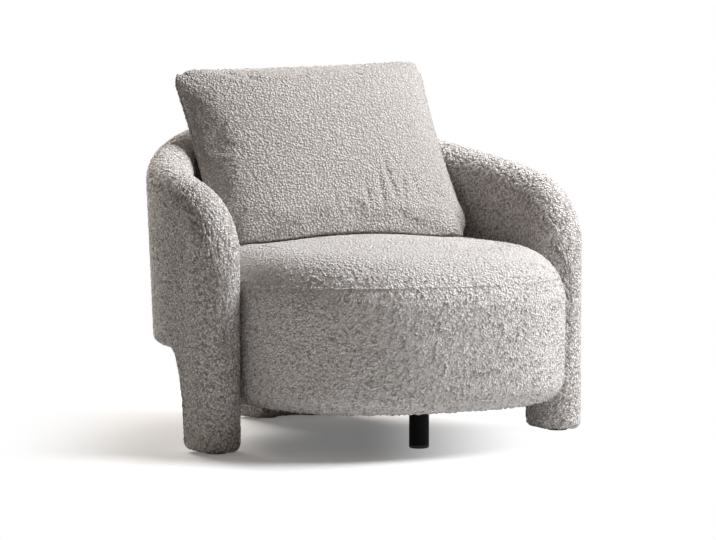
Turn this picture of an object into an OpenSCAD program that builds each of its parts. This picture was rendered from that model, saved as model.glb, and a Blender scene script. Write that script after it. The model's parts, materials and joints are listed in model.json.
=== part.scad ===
// Tub chair. A curved upholstered band makes the arms and the back, and reaches the floor at two
// front legs and a rear foot. A drum seat stands between the arms on a steel prop leg, and a loose
// back cushion with a zip leans in the band. X runs across, the front faces -Y, Z is up.

/* [Band] */
// Width across the arms
overall_w = 880; // [820:5:960]
// Thickness of the upholstered wall
band_t = 96; // [92:1:110]
// Depth of the rounded back, from the centre of its curve to its outside
back_r = 406; // [380:2:440]
// Straight length of each arm in front of the curve
arm_straight = 160; // [150:2:190]
// Height of the arms
arm_h = 538; // [520:2:570]
// Height of the back
back_h = 644; // [610:2:690]
// Height at which the arm's front edge starts to curve back
nose_h = 334; // [310:2:360]
// Length of that curve, from the front edge to the top of the arm
arm_curve = 240; // [210:5:260]
// Height of the band's lower edge over the floor
skirt_h = 199; // [180:1:215]
// Depth of a front leg at the floor
leg_depth = 95; // [88:1:110]
// Width of the rear foot at the floor
foot_w = 200; // [180:2:240]
// Length over which the lower edge rises from a foot
rise_len = 90; // [70:2:110]
// Backward lean of the back, as height to depth
back_lean = 0.18; // [0.08:0.01:0.24]
// Outward lean of the arms
arm_lean = 0.012; // [0:0.002:0.03]
// Height at which the lean starts
lean_z = 200; // [195:1:220]

/* [Upholstery] */
// Thickness of the boucle cover
cover_t = 3.5; // [2.5:0.5:4]
// Thickness of the band's foam on each face
foam_t = 25; // [20:1:26]
// Clearance between soft layers
layer_fit = 0.3; // [0.2:0.1:0.6]
// Radius of the band's lower hem
hem_r = 15; // [10:1:18]

/* [Seat] */
// Height of the seat's edge
seat_h = 397; // [380:1:420]
// Height of the seat's underside over the floor
seat_base_h = 88; // [75:1:100]
// Reach of the seat's front from the centre of the back's curve
seat_reach = 429; // [400:1:460]
// Distance from that centre to where the seat's front starts to curve
seat_curve_y = 100; // [90:2:120]
// Gap between the seat and the arms
seat_gap = 2; // [1:0.5:4]
// Radius of the seat's upper edge
seat_top_r = 107; // [80:1:112]
// Radius of the seat's lower edge
seat_low_r = 43; // [36:1:46]
// Height of the seat's crown
seat_crown = 16; // [8:1:24]
// Forward bulge of the seat's front
seat_bulge = 8; // [0:1:12]
// Power of the front curve, 2 for an ellipse and more for a squarer front
seat_power = 2.4; // [2:0.1:3]

/* [Prop leg] */
// Diameter of the steel prop leg
prop_d = 40; // [30:1:50]
// Wall of the prop leg's tube
prop_wall = 2; // [1.5:0.5:4]
// Distance from the seat's front to the prop leg
prop_in = 201; // [180:1:230]
// Size of the prop leg's top plate
plate_w = 90; // [80:2:110]
// Thickness of that plate
plate_t = 4; // [3:0.5:6]

/* [Back cushion] */
// Gap between the back cushion and each arm
cushion_gap = 48; // [38:1:74]
// Height of the back cushion
cushion_h = 406; // [360:2:430]
// Thickness of the back cushion
cushion_t = 170; // [120:5:180]
// Backward lean of the cushion in degrees
cushion_lean = 31.5; // [28:0.5:35]
// Share of its size by which the cushion's edges draw in
cushion_pull_share = 0.035; // [0:0.005:0.06]
// Share of its size by which the cushion's corners draw in
cushion_corner_share = 0.01; // [0:0.005:0.08]
// Rise of the plumper right end of the cushion's top edge
cushion_skew = 10; // [0:1:16]

/* [Timber frame] */
// Thickness of the plywood rails and rings
ply_t = 18; // [15:1:21]
// Thickness of a rib
rib_t = 18; // [12:1:24]
// Thickness of the hardboard
board_t = 2.5; // [2:0.1:2.8]
// Height of the band's top rail
top_rail_z = 470; // [455:1:475]
// Distance from the seat's side to its frame
seat_frame_in = 46; // [44:1:56]
// Height of the seat frame's top
seat_frame_h = 248; // [235:1:256]

/* [Hardware] */
// Gap between the upholstered feet and the floor
foot_gap = 8; // [5:1:12]
// Diameter of a foot glide
glide_d = 44; // [36:1:50]
// Diameter of the joining bolts
bolt_d = 8; // [6:1:10]
// Height of the joining bolts
bolt_z = 165; // [155:1:175]

/* [Hidden] */
$fn = 64;
boucle = [0.72, 0.69, 0.66];
foam = [0.93, 0.89, 0.74];
timber = [0.80, 0.66, 0.46];
hardboard = [0.52, 0.38, 0.26];
black = [0.06, 0.06, 0.06];
steel = [0.62, 0.63, 0.65];
felt = [0.55, 0.53, 0.51];
cloth_black = [0.10, 0.10, 0.11];
over = 1;

// Plan of the band: a half ellipse behind, and straight arms in front of it
half_t = band_t / 2;
mid_a = overall_w / 2 - half_t;
mid_b = back_r - half_t;
quarter_len = PI / 2 * sqrt((mid_a * mid_a + mid_b * mid_b) / 2);
band_len = quarter_len + arm_straight;
arm_power = 2.64;
rise_in_power = 2.6;
rise_out_power = 1.6;
crest_start_share = 0.13;
crest_start = band_len * crest_start_share;
nose_fade_share = 0.8;
slope_step = 0.5;

function clip(t) = min(max(t, 0), 1);
function ease(t) = clip(t) * clip(t) * (3 - 2 * clip(t));
function side_of(u) = u < 0 ? -1 : 1;
function turn_of(u) = 90 * clip(abs(u) / quarter_len);
function ahead_of(u) = max(abs(u) - quarter_len, 0);
function lean_of(u) = (arm_lean + (back_lean - arm_lean) * pow(cos(turn_of(u)), 2))
    * (1 - nose_fade_share * ease(ahead_of(u) / arm_straight));
function normal_of(u) =
    let (v = [sin(turn_of(u)) / mid_a, cos(turn_of(u)) / mid_b])
    v / norm(v);
function shift_of(u, z) = lean_of(u) * max(z - lean_z, 0);

// A point of the wall: u runs along it from the rear centre, n runs outwards
function flat_point(u, n, z) =
    let (k = n + shift_of(u, z), v = normal_of(u))
    [side_of(u) * (mid_a * sin(turn_of(u)) + v[0] * k),
     mid_b * cos(turn_of(u)) - ahead_of(u) + v[1] * k, z];
function wall_point(u, n, z) = flat_point(u, n, z) + [0, curve_y, 0];

// Outline of the wall, d behind its front edge and e inside its face
function arch_of(t) = pow(1 - pow(1 - clip(t), arm_power), 1 / arm_power);
function crest_of(d) = arm_h + (back_h - arm_h) * ease((d - crest_start) / (band_len - crest_start));
function top_z(d, e) = nose_h + (crest_of(d) - e - nose_h) * arch_of((d - e) / (arm_curve - e));
function steep_of(d, e) =
    let (slope = (top_z(d + slope_step, e) - top_z(d - slope_step, e)) / (2 * slope_step))
    sqrt(1 + slope * slope);
function rise_of(t) = pow(1 - pow(1 - clip(t), rise_in_power), 1 / rise_out_power);
function skirt_of(d) = rise_of(min(d - leg_depth, band_len - d - foot_w / 2) / rise_len);
function nose_lift(d) = hem_r * (1 - sqrt(1 - pow(1 - clip(d / hem_r), 2)));
function bottom_z(d) = foot_gap + nose_lift(d) + (skirt_h - foot_gap) * skirt_of(d);

// Under the flat stretches the cover's two hems stay apart, and round the rises they meet in a seam
rise_shares = [0, 0.02, 0.08, 0.2, 0.4, 0.66, 1];
shoulder_share = 0.45;
shoulder_d = half_t + shoulder_share * (leg_depth - half_t);
seam_gap = 1;
function rise_share(d) = min(d - leg_depth, band_len - d - foot_w / 2) / rise_len;
function apart_of(d) =
    rise_share(d) > 0 ? clip((rise_share(d) - rise_shares[4]) / (rise_shares[5] - rise_shares[4]))
    : d > leg_depth ? clip((foot_w / 2 - band_len + d) / (foot_w / 4))
    : clip((leg_depth - d) / (leg_depth - shoulder_d));

// Section of the wall from its outer hem over the top to its inner hem, as [n, z]
cap_steps = 5;
hem_share = 0.6;
least = 0.001;
rail_top = top_rail_z + ply_t;
function half_section(u, e, lift, hem, joined) =
    let (d = band_len - abs(u), c = half_t - e, near = d - e < least ? 0 : min(d - e, c),
         open = acos(1 - near / c), h = c * sin(open), zt = top_z(d, e), steep = steep_of(d, e),
         zb = bottom_z(d) + lift, hn = min(hem, hem_share * h), low = max(lean_z, zb + 2 * hem),
         cap = [for (i = [0:cap_steps]) let (a = open * (1 - i / cap_steps))
             [c * sin(a), near == 0 ? zt : zt - c * (1 - cos(a)) * steep]],
         first = joined ? min(h - hn, max(seam_gap / 2, (h - hn) * apart_of(d))) : h - hn)
    concat(
        [[first, zb], [h - hn, zb], [h - hn * (1 - sin(45)), zb + hem * (1 - cos(45))],
         [h, zb + hem], [h, low], [h, max(low, min(rail_top, cap[0][1]))]],
        cap);
function section(u, e, lift, hem, joined) =
    let (half = half_section(u, e, lift, hem, joined), last = len(half) - 1)
    concat(half, [for (i = [1:last]) [-half[last - i][0], half[last - i][1]]]);

// Stations along the wall, dense at the nose and where the lower edge rises
nose_shares = [0, 0.05, 0.2, 0.5, 1];
span_steps = 9;
skirt_from = leg_depth + rise_len;
skirt_to = band_len - foot_w / 2 - rise_len;
rise_last = len(rise_shares) - 1;
half_stations = concat(
    [for (s = nose_shares) s * half_t], [shoulder_d],
    [for (s = rise_shares) leg_depth + s * rise_len],
    [for (i = [1:span_steps - 1]) skirt_from + (skirt_to - skirt_from) * i / span_steps],
    [for (i = [0:rise_last]) skirt_to + (1 - rise_shares[rise_last - i]) * rise_len],
    [band_len - foot_w / 4, band_len]);
station_last = len(half_stations) - 1;
function inset_u(d, e) = band_len - (d < half_t ? e + d * (half_t - e) / half_t : d);
function stations(e) = concat(
    [for (d = half_stations) -inset_u(d, e)],
    [for (i = [1:station_last]) inset_u(half_stations[station_last - i], e)]);
function wall_grid(e, lift, hem, joined) =
    [for (u = stations(e)) [for (p = section(u, e, lift, hem, joined)) wall_point(u, p[0], p[1])]];
rear_reach = max([for (p = section(0, 0, 0, hem_r, true)) flat_point(0, p[0], p[1])[1]]);
curve_y = (seat_reach - rear_reach) / 2;

// Meshes
function flatten(rows) = [for (row = rows, p = row) p];
function whole(pts, f) = pts[f[0]] != pts[f[1]] && pts[f[1]] != pts[f[2]] && pts[f[2]] != pts[f[0]];
function quad(a, b, c, d, flip) = flip ? [[a, c, b], [a, d, c]] : [[a, b, c], [a, c, d]];
function cell(w, i, j, base, flip) =
    quad(base + i * w + j, base + i * w + j + 1, base + (i + 1) * w + j + 1, base + (i + 1) * w + j, flip);
module faced(pts, quads) {
    tris = [for (q = quads, f = q) if (whole(pts, f)) f];
    polyhedron(points = pts, faces = tris, convexity = 10);
}

// A skin between two grids of one size, joined along their first and last columns
module grid_skin(outer, inner) {
    rows = len(outer);
    w = len(outer[0]);
    n = rows * w;
    pts = concat(flatten(outer), flatten(inner));
    faced(pts, concat(
        [for (i = [0:rows - 2], j = [0:w - 2]) cell(w, i, j, 0, true)],
        [for (i = [0:rows - 2], j = [0:w - 2]) cell(w, i, j, n, false)],
        [for (i = [0:rows - 2], j = [0, w - 1])
            quad(i * w + j, (i + 1) * w + j, n + (i + 1) * w + j, n + i * w + j, j == 0)]));
}

// A bar through closed sections of one size, with flat ends
module bar(sections) {
    rows = len(sections);
    w = len(sections[0]);
    pts = flatten(sections);
    faced(pts, concat(
        [for (i = [0:rows - 2], j = [0:w - 1])
            quad(i * w + j, i * w + (j + 1) % w, (i + 1) * w + (j + 1) % w, (i + 1) * w + j, true)],
        [for (j = [1:w - 2]) [[0, j, j + 1]]],
        [for (j = [1:w - 2]) [[(rows - 1) * w, (rows - 1) * w + j + 1, (rows - 1) * w + j]]]));
}

// Solids that follow the wall as far as a distance from the rear centre, from n_in to n_out
function wall_us(from) = concat([-from], [for (u = stations(0)) if (abs(u) < from) u], [from]);
module wall_bar(from, n_in, n_out, z_low, z_high) {
    bar([for (u = wall_us(from))
        [wall_point(u, n_out, z_low), wall_point(u, n_out, z_high),
         wall_point(u, n_in, z_high), wall_point(u, n_in, z_low)]]);
}
module wall_block(from, n_in, n_out, z_low, z_high) {
    us = wall_us(from);
    translate([0, 0, z_low])
        linear_extrude(height = z_high - z_low)
            polygon(concat(
                [for (u = us) let (p = wall_point(u, n_out, lean_z)) [p[0], p[1]]],
                [for (u = us) let (p = wall_point(-u, n_in, lean_z)) [p[0], p[1]]]));
}

// Band
core_in = cover_t + layer_fit + foam_t;
board_fit = 0.6;
rail_fit = 0.3;
cavity_r = half_t - core_in;
frame_half = cavity_r - board_t - board_fit;
rail_half = frame_half - rail_fit;
module band_cover() {
    color(boucle)
        difference() {
            grid_skin(wall_grid(0, 0, hem_r, true), wall_grid(cover_t, cover_t, hem_r - cover_t, true));
            joining_holes(bolt_hole_d);
        }
}

padding_in = cover_t + layer_fit;
rise_fit = 1.5;
padding_lift = padding_in + rise_fit;
module band_padding() {
    color(foam)
        difference() {
            grid_skin(wall_grid(padding_in, padding_lift, hem_r - padding_in, false),
                wall_grid(core_in, padding_lift, 0, false));
            joining_holes(bolt_hole_d);
        }
}

// Black strips between the hems: a flat patch under each foot and a strip along each rise
strip_t = 1.5;
strip_z = cover_t - strip_t;
strip_fit = 1.2;
patch_ds = concat([hem_r], [for (d = half_stations) if (d > hem_r && d < leg_depth) d]);
function strip_n(u) =
    half_section(u, cover_t, cover_t, hem_r - cover_t, true)[0][0] - strip_fit;
module foot_patch(us, ends) {
    n = len(us);
    translate([0, 0, foot_gap + strip_z])
        linear_extrude(height = strip_t)
            polygon([for (p = concat(
                [for (u = us) wall_point(u, strip_n(u), 0)], [wall_point(ends[1], 0, 0)],
                [for (i = [1:n]) wall_point(us[n - i], -strip_n(us[n - i]), 0)],
                [wall_point(ends[0], 0, 0)])) [p[0], p[1]]]);
}
module underside_strip() {
    color(cloth_black) {
        difference() {
            union() {
                for (side = [-1, 1])
                    foot_patch([for (d = patch_ds) side * (band_len - d)],
                        [side * (band_len - hem_r), side * (band_len - leg_depth)]);
                foot_patch([-foot_w / 4, 0, foot_w / 4], [-foot_w / 2, foot_w / 2]);
            }
            glide_holes();
        }
        for (side = [-1, 1])
            bar([for (u = stations(0)) if (side * u > 0 && rise_share(band_len - abs(u)) > rise_shares[4]
                    && apart_of(band_len - abs(u)) > 0.5)
                let (z = bottom_z(band_len - abs(u)) + strip_z, n = strip_n(u))
                [wall_point(u, n, z), wall_point(u, n, z + strip_t),
                 wall_point(u, -n, z + strip_t), wall_point(u, -n, z)]]);
    }
}

// Timber of the band
base_rail_z = skirt_h + cover_t;
block_top = base_rail_z;
frame_low = foot_gap + cover_t;
module base_rail() {
    color(timber)
        wall_bar(quarter_len, -rail_half, rail_half, base_rail_z, base_rail_z + ply_t);
}

module top_rail() {
    color(timber)
        wall_bar(quarter_len, -rail_half, rail_half, top_rail_z, rail_top);
}

module rear_foot_block() {
    color(timber)
        difference() {
            wall_block(foot_w / 2 - hem_r, -frame_half, frame_half, frame_low, block_top);
            insert_holes();
            glide_holes();
        }
}

// The band's boards cover the rails and ribs on both sides
module outer_board() {
    color(hardboard)
        wall_bar(quarter_len, frame_half, frame_half + board_t, base_rail_z, rail_top);
}
module inner_board() {
    color(hardboard)
        wall_bar(quarter_len, -frame_half - board_t, -frame_half, base_rail_z, rail_top);
}

rib_fit = 2.4;
rib_half = frame_half - rib_fit;
rib_shares = [-0.75, -0.5, -0.25, 0, 0.25, 0.5, 0.75];
module rib(i) {
    u = rib_shares[i] * quarter_len;
    foot = wall_point(u, 0, lean_z);
    v = normal_of(u);
    low = base_rail_z + ply_t;
    color(timber)
        translate([foot[0], foot[1], 0])
            rotate([90, 0, atan2(v[1], side_of(u) * v[0])])
                linear_extrude(height = rib_t, center = true)
                    polygon([
                        [shift_of(u, low) - rib_half, low], [shift_of(u, low) + rib_half, low],
                        [shift_of(u, top_rail_z) + rib_half, top_rail_z],
                        [shift_of(u, top_rail_z) - rib_half, top_rail_z]]);
}

// Each arm holds a plywood panel with the arm's outline on a leg post, whose tongue laps its face
panel_fit = 1.5;
panel_drop = cavity_r - sqrt(cavity_r * cavity_r - frame_half * frame_half) + panel_fit;
panel_in = core_in + panel_drop;
post_gap = 4;
post_d = leg_depth - panel_in - post_gap;
post_h = 380;
function arm_y(d) = curve_y - arm_straight + d;
function panel_z(d) = top_z(d, core_in) - panel_drop * steep_of(d, core_in);
panel_places = concat([panel_in],
    [for (d = half_stations) if (d > panel_in && d < arm_straight) d], [arm_straight]);
module arm_panel(side) {
    color(timber)
        translate([side * (mid_a + frame_half / 2), 0, 0])
            rotate([90, 0, 90])
                linear_extrude(height = frame_half, center = true)
                    polygon(concat(
                        [[arm_y(arm_straight), block_top], [arm_y(panel_in), block_top]],
                        [for (d = panel_places) [arm_y(d), panel_z(d)]]));
}
module leg_post(side) {
    mid_y = arm_y(panel_in + post_d / 2);
    color(timber)
        difference() {
            union() {
                translate([side * mid_a, mid_y, (frame_low + block_top) / 2])
                    cube([2 * frame_half, post_d, block_top - frame_low], center = true);
                translate([side * (mid_a - frame_half / 2), mid_y, (frame_low + post_h) / 2])
                    cube([frame_half, post_d, post_h - frame_low], center = true);
            }
            insert_holes();
            glide_holes();
        }
}
module arm_panel_left() { arm_panel(-1); }
module arm_panel_right() { arm_panel(1); }
module leg_post_left() { leg_post(-1); }
module leg_post_right() { leg_post(1); }

// Glides under the upholstered feet
glide_h = foot_gap + strip_z;
glide_edge = 2;
glide_bore_d = 5;
glide_head_d = 12;
glide_head_h = 4;
glide_screw_len = 30;
glide_screw_head_h = 1.5;
module at_glides() {
    leg_y = arm_y(half_t);
    for (side = [-1, 1])
        translate([side * mid_a, leg_y, 0]) children();
    for (side = [-1, 1]) {
        p = wall_point(side * foot_w / 4, 0, 0);
        translate([p[0], p[1], 0]) children();
    }
}
module foot_glides() {
    color(felt)
        at_glides()
            rotate_extrude()
                polygon([
                    [glide_head_d / 2, 0], [glide_d / 2 - glide_edge, 0], [glide_d / 2, glide_edge],
                    [glide_d / 2, glide_h], [glide_bore_d / 2, glide_h],
                    [glide_bore_d / 2, glide_head_h], [glide_head_d / 2, glide_head_h]]);
}

// Seat: half width, depth of the rounded rear and the outline of its side
seat_half_w = overall_w / 2 - band_t - seat_gap;
seat_rear_r = back_r - band_t - seat_gap;
seat_front_l = seat_reach - seat_curve_y - seat_bulge;
seat_mid_y = (seat_rear_r - seat_curve_y - seat_front_l) / 2;
seat_half_l = (seat_rear_r + seat_curve_y + seat_front_l) / 2;
front_steps = 16;
rear_steps = 10;
function signed_pow(v, k) = v < 0 ? -pow(-v, k) : pow(v, k);
function seat_ring(e, bulge) = concat(
    [for (i = [0:front_steps]) let (t = 180 * i / front_steps - 90)
        [(seat_half_w - e) * signed_pow(sin(t), 2 / seat_power),
         curve_y - seat_curve_y - (seat_front_l - e + bulge) * pow(max(cos(t), 0), 2 / seat_power)]],
    [for (i = [0:rear_steps]) let (t = 180 * i / rear_steps)
        [(seat_half_w - e) * cos(t), curve_y + (seat_rear_r - e) * sin(t)]]);
function bulge_at(z) = seat_bulge * sin(180 * clip((z - seat_base_h) / (seat_h - seat_base_h)));
function level(e, z) = [for (p = seat_ring(e, bulge_at(z))) [p[0], p[1], z]];
function dot(p, z) = [for (q = seat_ring(0, 0)) [p[0], p[1], z]];
function seat_z(x, y) = seat_h + seat_crown * max(0, 1 - pow(x / (seat_half_w - seat_top_r), 2)
    - pow((y - curve_y - seat_mid_y) / (seat_half_l - seat_top_r), 2));

// Levels of the seat's soft form, c inside its face
low_steps = 3;
top_steps = 5;
crown_shares = [0.72, 0.36];
function low_levels(c) = [for (i = [0:low_steps]) let (a = 90 * i / low_steps, r = seat_low_r - c)
    level(c + r * (1 - sin(a)), seat_base_h + c + r * (1 - cos(a)))];
function top_levels(c) = [for (i = [0:top_steps]) let (a = 90 * i / top_steps, r = seat_top_r - c)
    level(c + r * (1 - cos(a)), seat_h - c - r + r * sin(a))];
function mid_level(c) = [level(c, (seat_base_h + seat_h) / 2)];
function crown_levels(c) = [for (s = crown_shares)
    [for (p = seat_ring(seat_top_r, 0))
        let (x = p[0] * s, y = curve_y + seat_mid_y + (p[1] - curve_y - seat_mid_y) * s)
        [x, y, seat_z(x, y) - c]]];
function seat_peak(c) = dot([0, curve_y + seat_mid_y], seat_h + seat_crown - c);

// A solid through rings of one size, whose last ring joins the first
module ring_solid(rings) {
    rows = len(rings);
    w = len(rings[0]);
    faced(flatten(rings), [for (i = [0:rows - 1], j = [0:w - 1])
        let (a = i * w, b = ((i + 1) % rows) * w, k = (j + 1) % w)
        quad(a + j, a + k, b + k, b + j, true)]);
}
function backwards(rows) = [for (i = [1:len(rows)]) rows[len(rows) - i]];

turn_under = 30;
module seat_cover() {
    color(boucle)
        difference() {
            ring_solid(concat(
                [level(seat_low_r + turn_under, seat_base_h)], low_levels(0), mid_level(0),
                top_levels(0), crown_levels(0), [seat_peak(0)],
                [seat_peak(cover_t)], backwards(crown_levels(cover_t)), backwards(top_levels(cover_t)),
                mid_level(cover_t), backwards(low_levels(cover_t)),
                [level(seat_low_r + turn_under, seat_base_h + cover_t)]));
            joining_holes(bolt_hole_d);
        }
}

soft_in = cover_t + layer_fit;
web_t = 1.5;
foam_z = seat_frame_h + 2 * web_t + layer_fit;
module seat_foam() {
    color(foam)
        ring_solid(concat(
            [dot([0, curve_y + seat_mid_y], foam_z)], [level(soft_in, foam_z)], top_levels(soft_in),
            crown_levels(soft_in), [seat_peak(soft_in)]));
}

module seat_side_padding() {
    inner = seat_frame_in - side_board_t - layer_fit;
    color(foam)
        difference() {
            ring_solid(concat(
                low_levels(soft_in), [level(soft_in, foam_z - layer_fit)],
                [[for (p = seat_ring(inner, 0)) [p[0], p[1], foam_z - layer_fit]]],
                [[for (p = seat_ring(inner, 0)) [p[0], p[1], seat_base_h + soft_in]]]));
            joining_holes(bolt_hole_d);
        }
}

// Timber of the seat
side_board_t = 3;
ring_w = 60;
base_z = seat_base_h + cover_t;
base_open_d = 260;
base_open_y = 110;
board_top = base_z + ply_t;
module seat_plate(e, z, h) {
    translate([0, 0, z])
        linear_extrude(height = h)
            polygon(seat_ring(e, 0));
}
module seat_side_board() {
    color(hardboard)
        difference() {
            seat_plate(seat_frame_in - side_board_t, base_z, seat_frame_h - base_z);
            seat_plate(seat_frame_in, base_z - over, seat_frame_h - base_z + 2 * over);
            joining_holes(bolt_hole_d);
        }
}
module seat_top_ring() {
    color(timber)
        difference() {
            seat_plate(seat_frame_in, seat_frame_h - ply_t, ply_t);
            seat_plate(seat_frame_in + ring_w, seat_frame_h - ply_t - over, ply_t + 2 * over);
        }
}
module seat_base_board() {
    color(timber)
        difference() {
            seat_plate(seat_frame_in, base_z, ply_t);
            translate([0, curve_y + base_open_y, base_z - over])
                cylinder(d = base_open_d, h = ply_t + 2 * over);
            at_prop_screws()
                translate([0, 0, base_z - over])
                    cylinder(d = pilot_d, h = prop_screw_len);
        }
}

// Blocks between the seat's boards, cut to the line of its side
block_d = 40;
block_w = 60;
bolt_y = arm_y(panel_in + post_d / 2);
rear_bolt_x = 60;
rear_bolt_y = curve_y + seat_rear_r * sqrt(1 - pow(rear_bolt_x / seat_half_w, 2));
front_block_turn = 44;
front_power = 2 * (seat_power - 1) / seat_power;
front_normal = atan2(-pow(cos(front_block_turn), front_power) / seat_front_l,
    pow(sin(front_block_turn), front_power) / seat_half_w);
front_x = seat_half_w * pow(sin(front_block_turn), 2 / seat_power);
front_y = curve_y - seat_curve_y - seat_front_l * pow(cos(front_block_turn), 2 / seat_power);
module seat_block(place, spin) {
    color(timber)
        difference() {
            intersection() {
                translate([place[0], place[1], board_top])
                    rotate([0, 0, spin])
                        translate([-seat_frame_in - block_d, -block_w / 2, 0])
                            cube([2 * block_d, block_w, seat_frame_h - ply_t - board_top]);
                seat_plate(seat_frame_in, board_top, seat_frame_h - ply_t - board_top);
            }
            joining_holes(bolt_hole_d);
        }
}
module seat_block_left() { seat_block([-seat_half_w, bolt_y], 180); }
module seat_block_right() { seat_block([seat_half_w, bolt_y], 0); }
module seat_block_rear_left() { seat_block([-rear_bolt_x, rear_bolt_y], 90); }
module seat_block_rear_right() { seat_block([rear_bolt_x, rear_bolt_y], 90); }
module seat_block_front_left() { seat_block([-front_x, front_y], 180 - front_normal); }
module seat_block_front_right() { seat_block([front_x, front_y], front_normal); }

// Elastic webbing over the top ring, one layer across and one along
web_w = 50;
web_pitch = 78;
web_n = 5;
web_hold = 14;
module webs(z, spin) {
    translate([0, 0, z])
        linear_extrude(height = web_t)
            intersection() {
                polygon(seat_ring(seat_frame_in + web_hold, 0));
                translate([0, curve_y + seat_mid_y])
                    rotate([0, 0, spin])
                        for (i = [0:web_n - 1])
                            translate([0, (i - (web_n - 1) / 2) * web_pitch])
                                square([2 * seat_reach, web_w], center = true);
            }
}
module webbing_across() { color(cloth_black) webs(seat_frame_h, 0); }
module webbing_along() { color(cloth_black) webs(seat_frame_h + web_t, 90); }

dust_t = 1;
dust_hole_fit = 1;
module dust_cover() {
    color(cloth_black)
        difference() {
            seat_plate(seat_low_r + turn_under + layer_fit, base_z - dust_t, dust_t);
            at_prop()
                translate([0, 0, base_z - dust_t - over])
                    linear_extrude(height = dust_t + 2 * over)
                        plate_outline(dust_hole_fit);
        }
}

// Bolts that join the seat to the band, placed on the seat's side with +Z outwards
washer_d = 24;
washer_t = 2;
head_w = 13;
head_h = 5.5;
insert_d = 12;
insert_gap = 1.5;
insert_len = frame_half - insert_gap;
thread_gap = 0.1;
bolt_play = 1;
bolt_hole_d = bolt_d + bolt_play;
to_post = half_t + seat_gap - frame_half;
head_seat = seat_frame_in + block_d;
bolt_tip = to_post + insert_len - insert_gap;
module at_bolts() {
    for (side = [-1, 1])
        translate([side * seat_half_w, bolt_y, bolt_z]) rotate([0, side * 90, 0]) children();
    for (side = [-1, 1])
        translate([side * rear_bolt_x, rear_bolt_y, bolt_z]) rotate([-90, 0, 0]) children();
}
module joining_holes(d) {
    at_bolts()
        translate([0, 0, -head_seat - over])
            cylinder(d = d, h = head_seat + to_post + insert_len);
}
module insert_holes() {
    at_bolts()
        translate([0, 0, to_post - ply_t])
            cylinder(d = insert_d, h = ply_t + insert_len);
}
module joining_bolts() {
    color(steel)
        at_bolts() {
            translate([0, 0, -head_seat - washer_t])
                cylinder(d = bolt_d, h = head_seat + washer_t + bolt_tip);
            translate([0, 0, -head_seat - washer_t - head_h])
                cylinder(d = head_w / cos(30), h = head_h, $fn = 6);
        }
}
module joining_washers() {
    color(steel)
        at_bolts()
            translate([0, 0, -head_seat - washer_t])
                difference() {
                    cylinder(d = washer_d, h = washer_t);
                    translate([0, 0, -over]) cylinder(d = bolt_hole_d, h = washer_t + 2 * over);
                }
}
module joining_inserts() {
    color(steel)
        at_bolts()
            translate([0, 0, to_post])
                difference() {
                    cylinder(d = insert_d, h = insert_len);
                    translate([0, 0, -over])
                        cylinder(d = bolt_d + 2 * thread_gap, h = insert_len + 2 * over);
                }
}

// Prop leg under the front of the seat
prop_place_y = curve_y - seat_reach + prop_in;
plate_r = 12;
prop_screw_d = 5;
prop_screw_len = 20;
prop_head_d = 9;
prop_head_h = 3;
pilot_d = 5;
screw_in = 14;
prop_cap_h = 6;
prop_plug_h = 20;
plug_fit = 0.1;
cap_edge = 2;
plate_z = base_z - plate_t;
module at_prop() { translate([0, prop_place_y, 0]) children(); }
module at_prop_screws() {
    at_prop()
        for (x = [-1, 1], y = [-1, 1])
            translate([x * (plate_w / 2 - screw_in), y * (plate_w / 2 - screw_in), 0])
                children();
}
module plate_outline(grow) {
    w = plate_w + 2 * grow;
    r = plate_r + grow;
    square([w, w - 2 * r], center = true);
    square([w - 2 * r, w], center = true);
    for (x = [-1, 1], y = [-1, 1])
        translate([x * (w / 2 - r), y * (w / 2 - r)])
            circle(r = r);
}
module prop_plate() {
    color(black)
        difference() {
            at_prop()
                translate([0, 0, plate_z])
                    linear_extrude(height = plate_t)
                        plate_outline(0);
            at_prop_screws()
                translate([0, 0, plate_z - over])
                    cylinder(d = prop_screw_d, h = plate_t + 2 * over);
        }
}
module prop_tube() {
    color(black)
        at_prop()
            rotate_extrude()
                polygon([
                    [prop_d / 2 - prop_wall, prop_cap_h], [prop_d / 2, prop_cap_h],
                    [prop_d / 2, plate_z], [prop_d / 2 - prop_wall, plate_z]]);
}
module prop_glide() {
    r = prop_d / 2;
    bore = r - prop_wall - plug_fit;
    color(black)
        at_prop()
            rotate_extrude()
                polygon([
                    [0, 0], [r - cap_edge, 0], [r, cap_edge], [r, prop_cap_h], [bore, prop_cap_h],
                    [bore, prop_cap_h + prop_plug_h], [0, prop_cap_h + prop_plug_h]]);
}
module prop_screws() {
    color(steel)
        at_prop_screws() {
            translate([0, 0, plate_z])
                cylinder(d = prop_screw_d - 2 * thread_gap, h = prop_screw_len);
            translate([0, 0, plate_z - prop_head_h])
                cylinder(d1 = prop_head_d - prop_head_h, d2 = prop_head_d, h = prop_head_h);
        }
}
module glide_screws() {
    color(steel)
        at_glides() {
            translate([0, 0, glide_head_h])
                cylinder(d = glide_bore_d - 2 * thread_gap, h = glide_screw_len);
            translate([0, 0, glide_head_h - glide_screw_head_h])
                cylinder(d = glide_head_d - glide_edge, h = glide_screw_head_h);
        }
}
module glide_holes() {
    at_glides()
        translate([0, 0, glide_head_h])
            cylinder(d = glide_bore_d, h = glide_screw_len + over);
}

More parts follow.
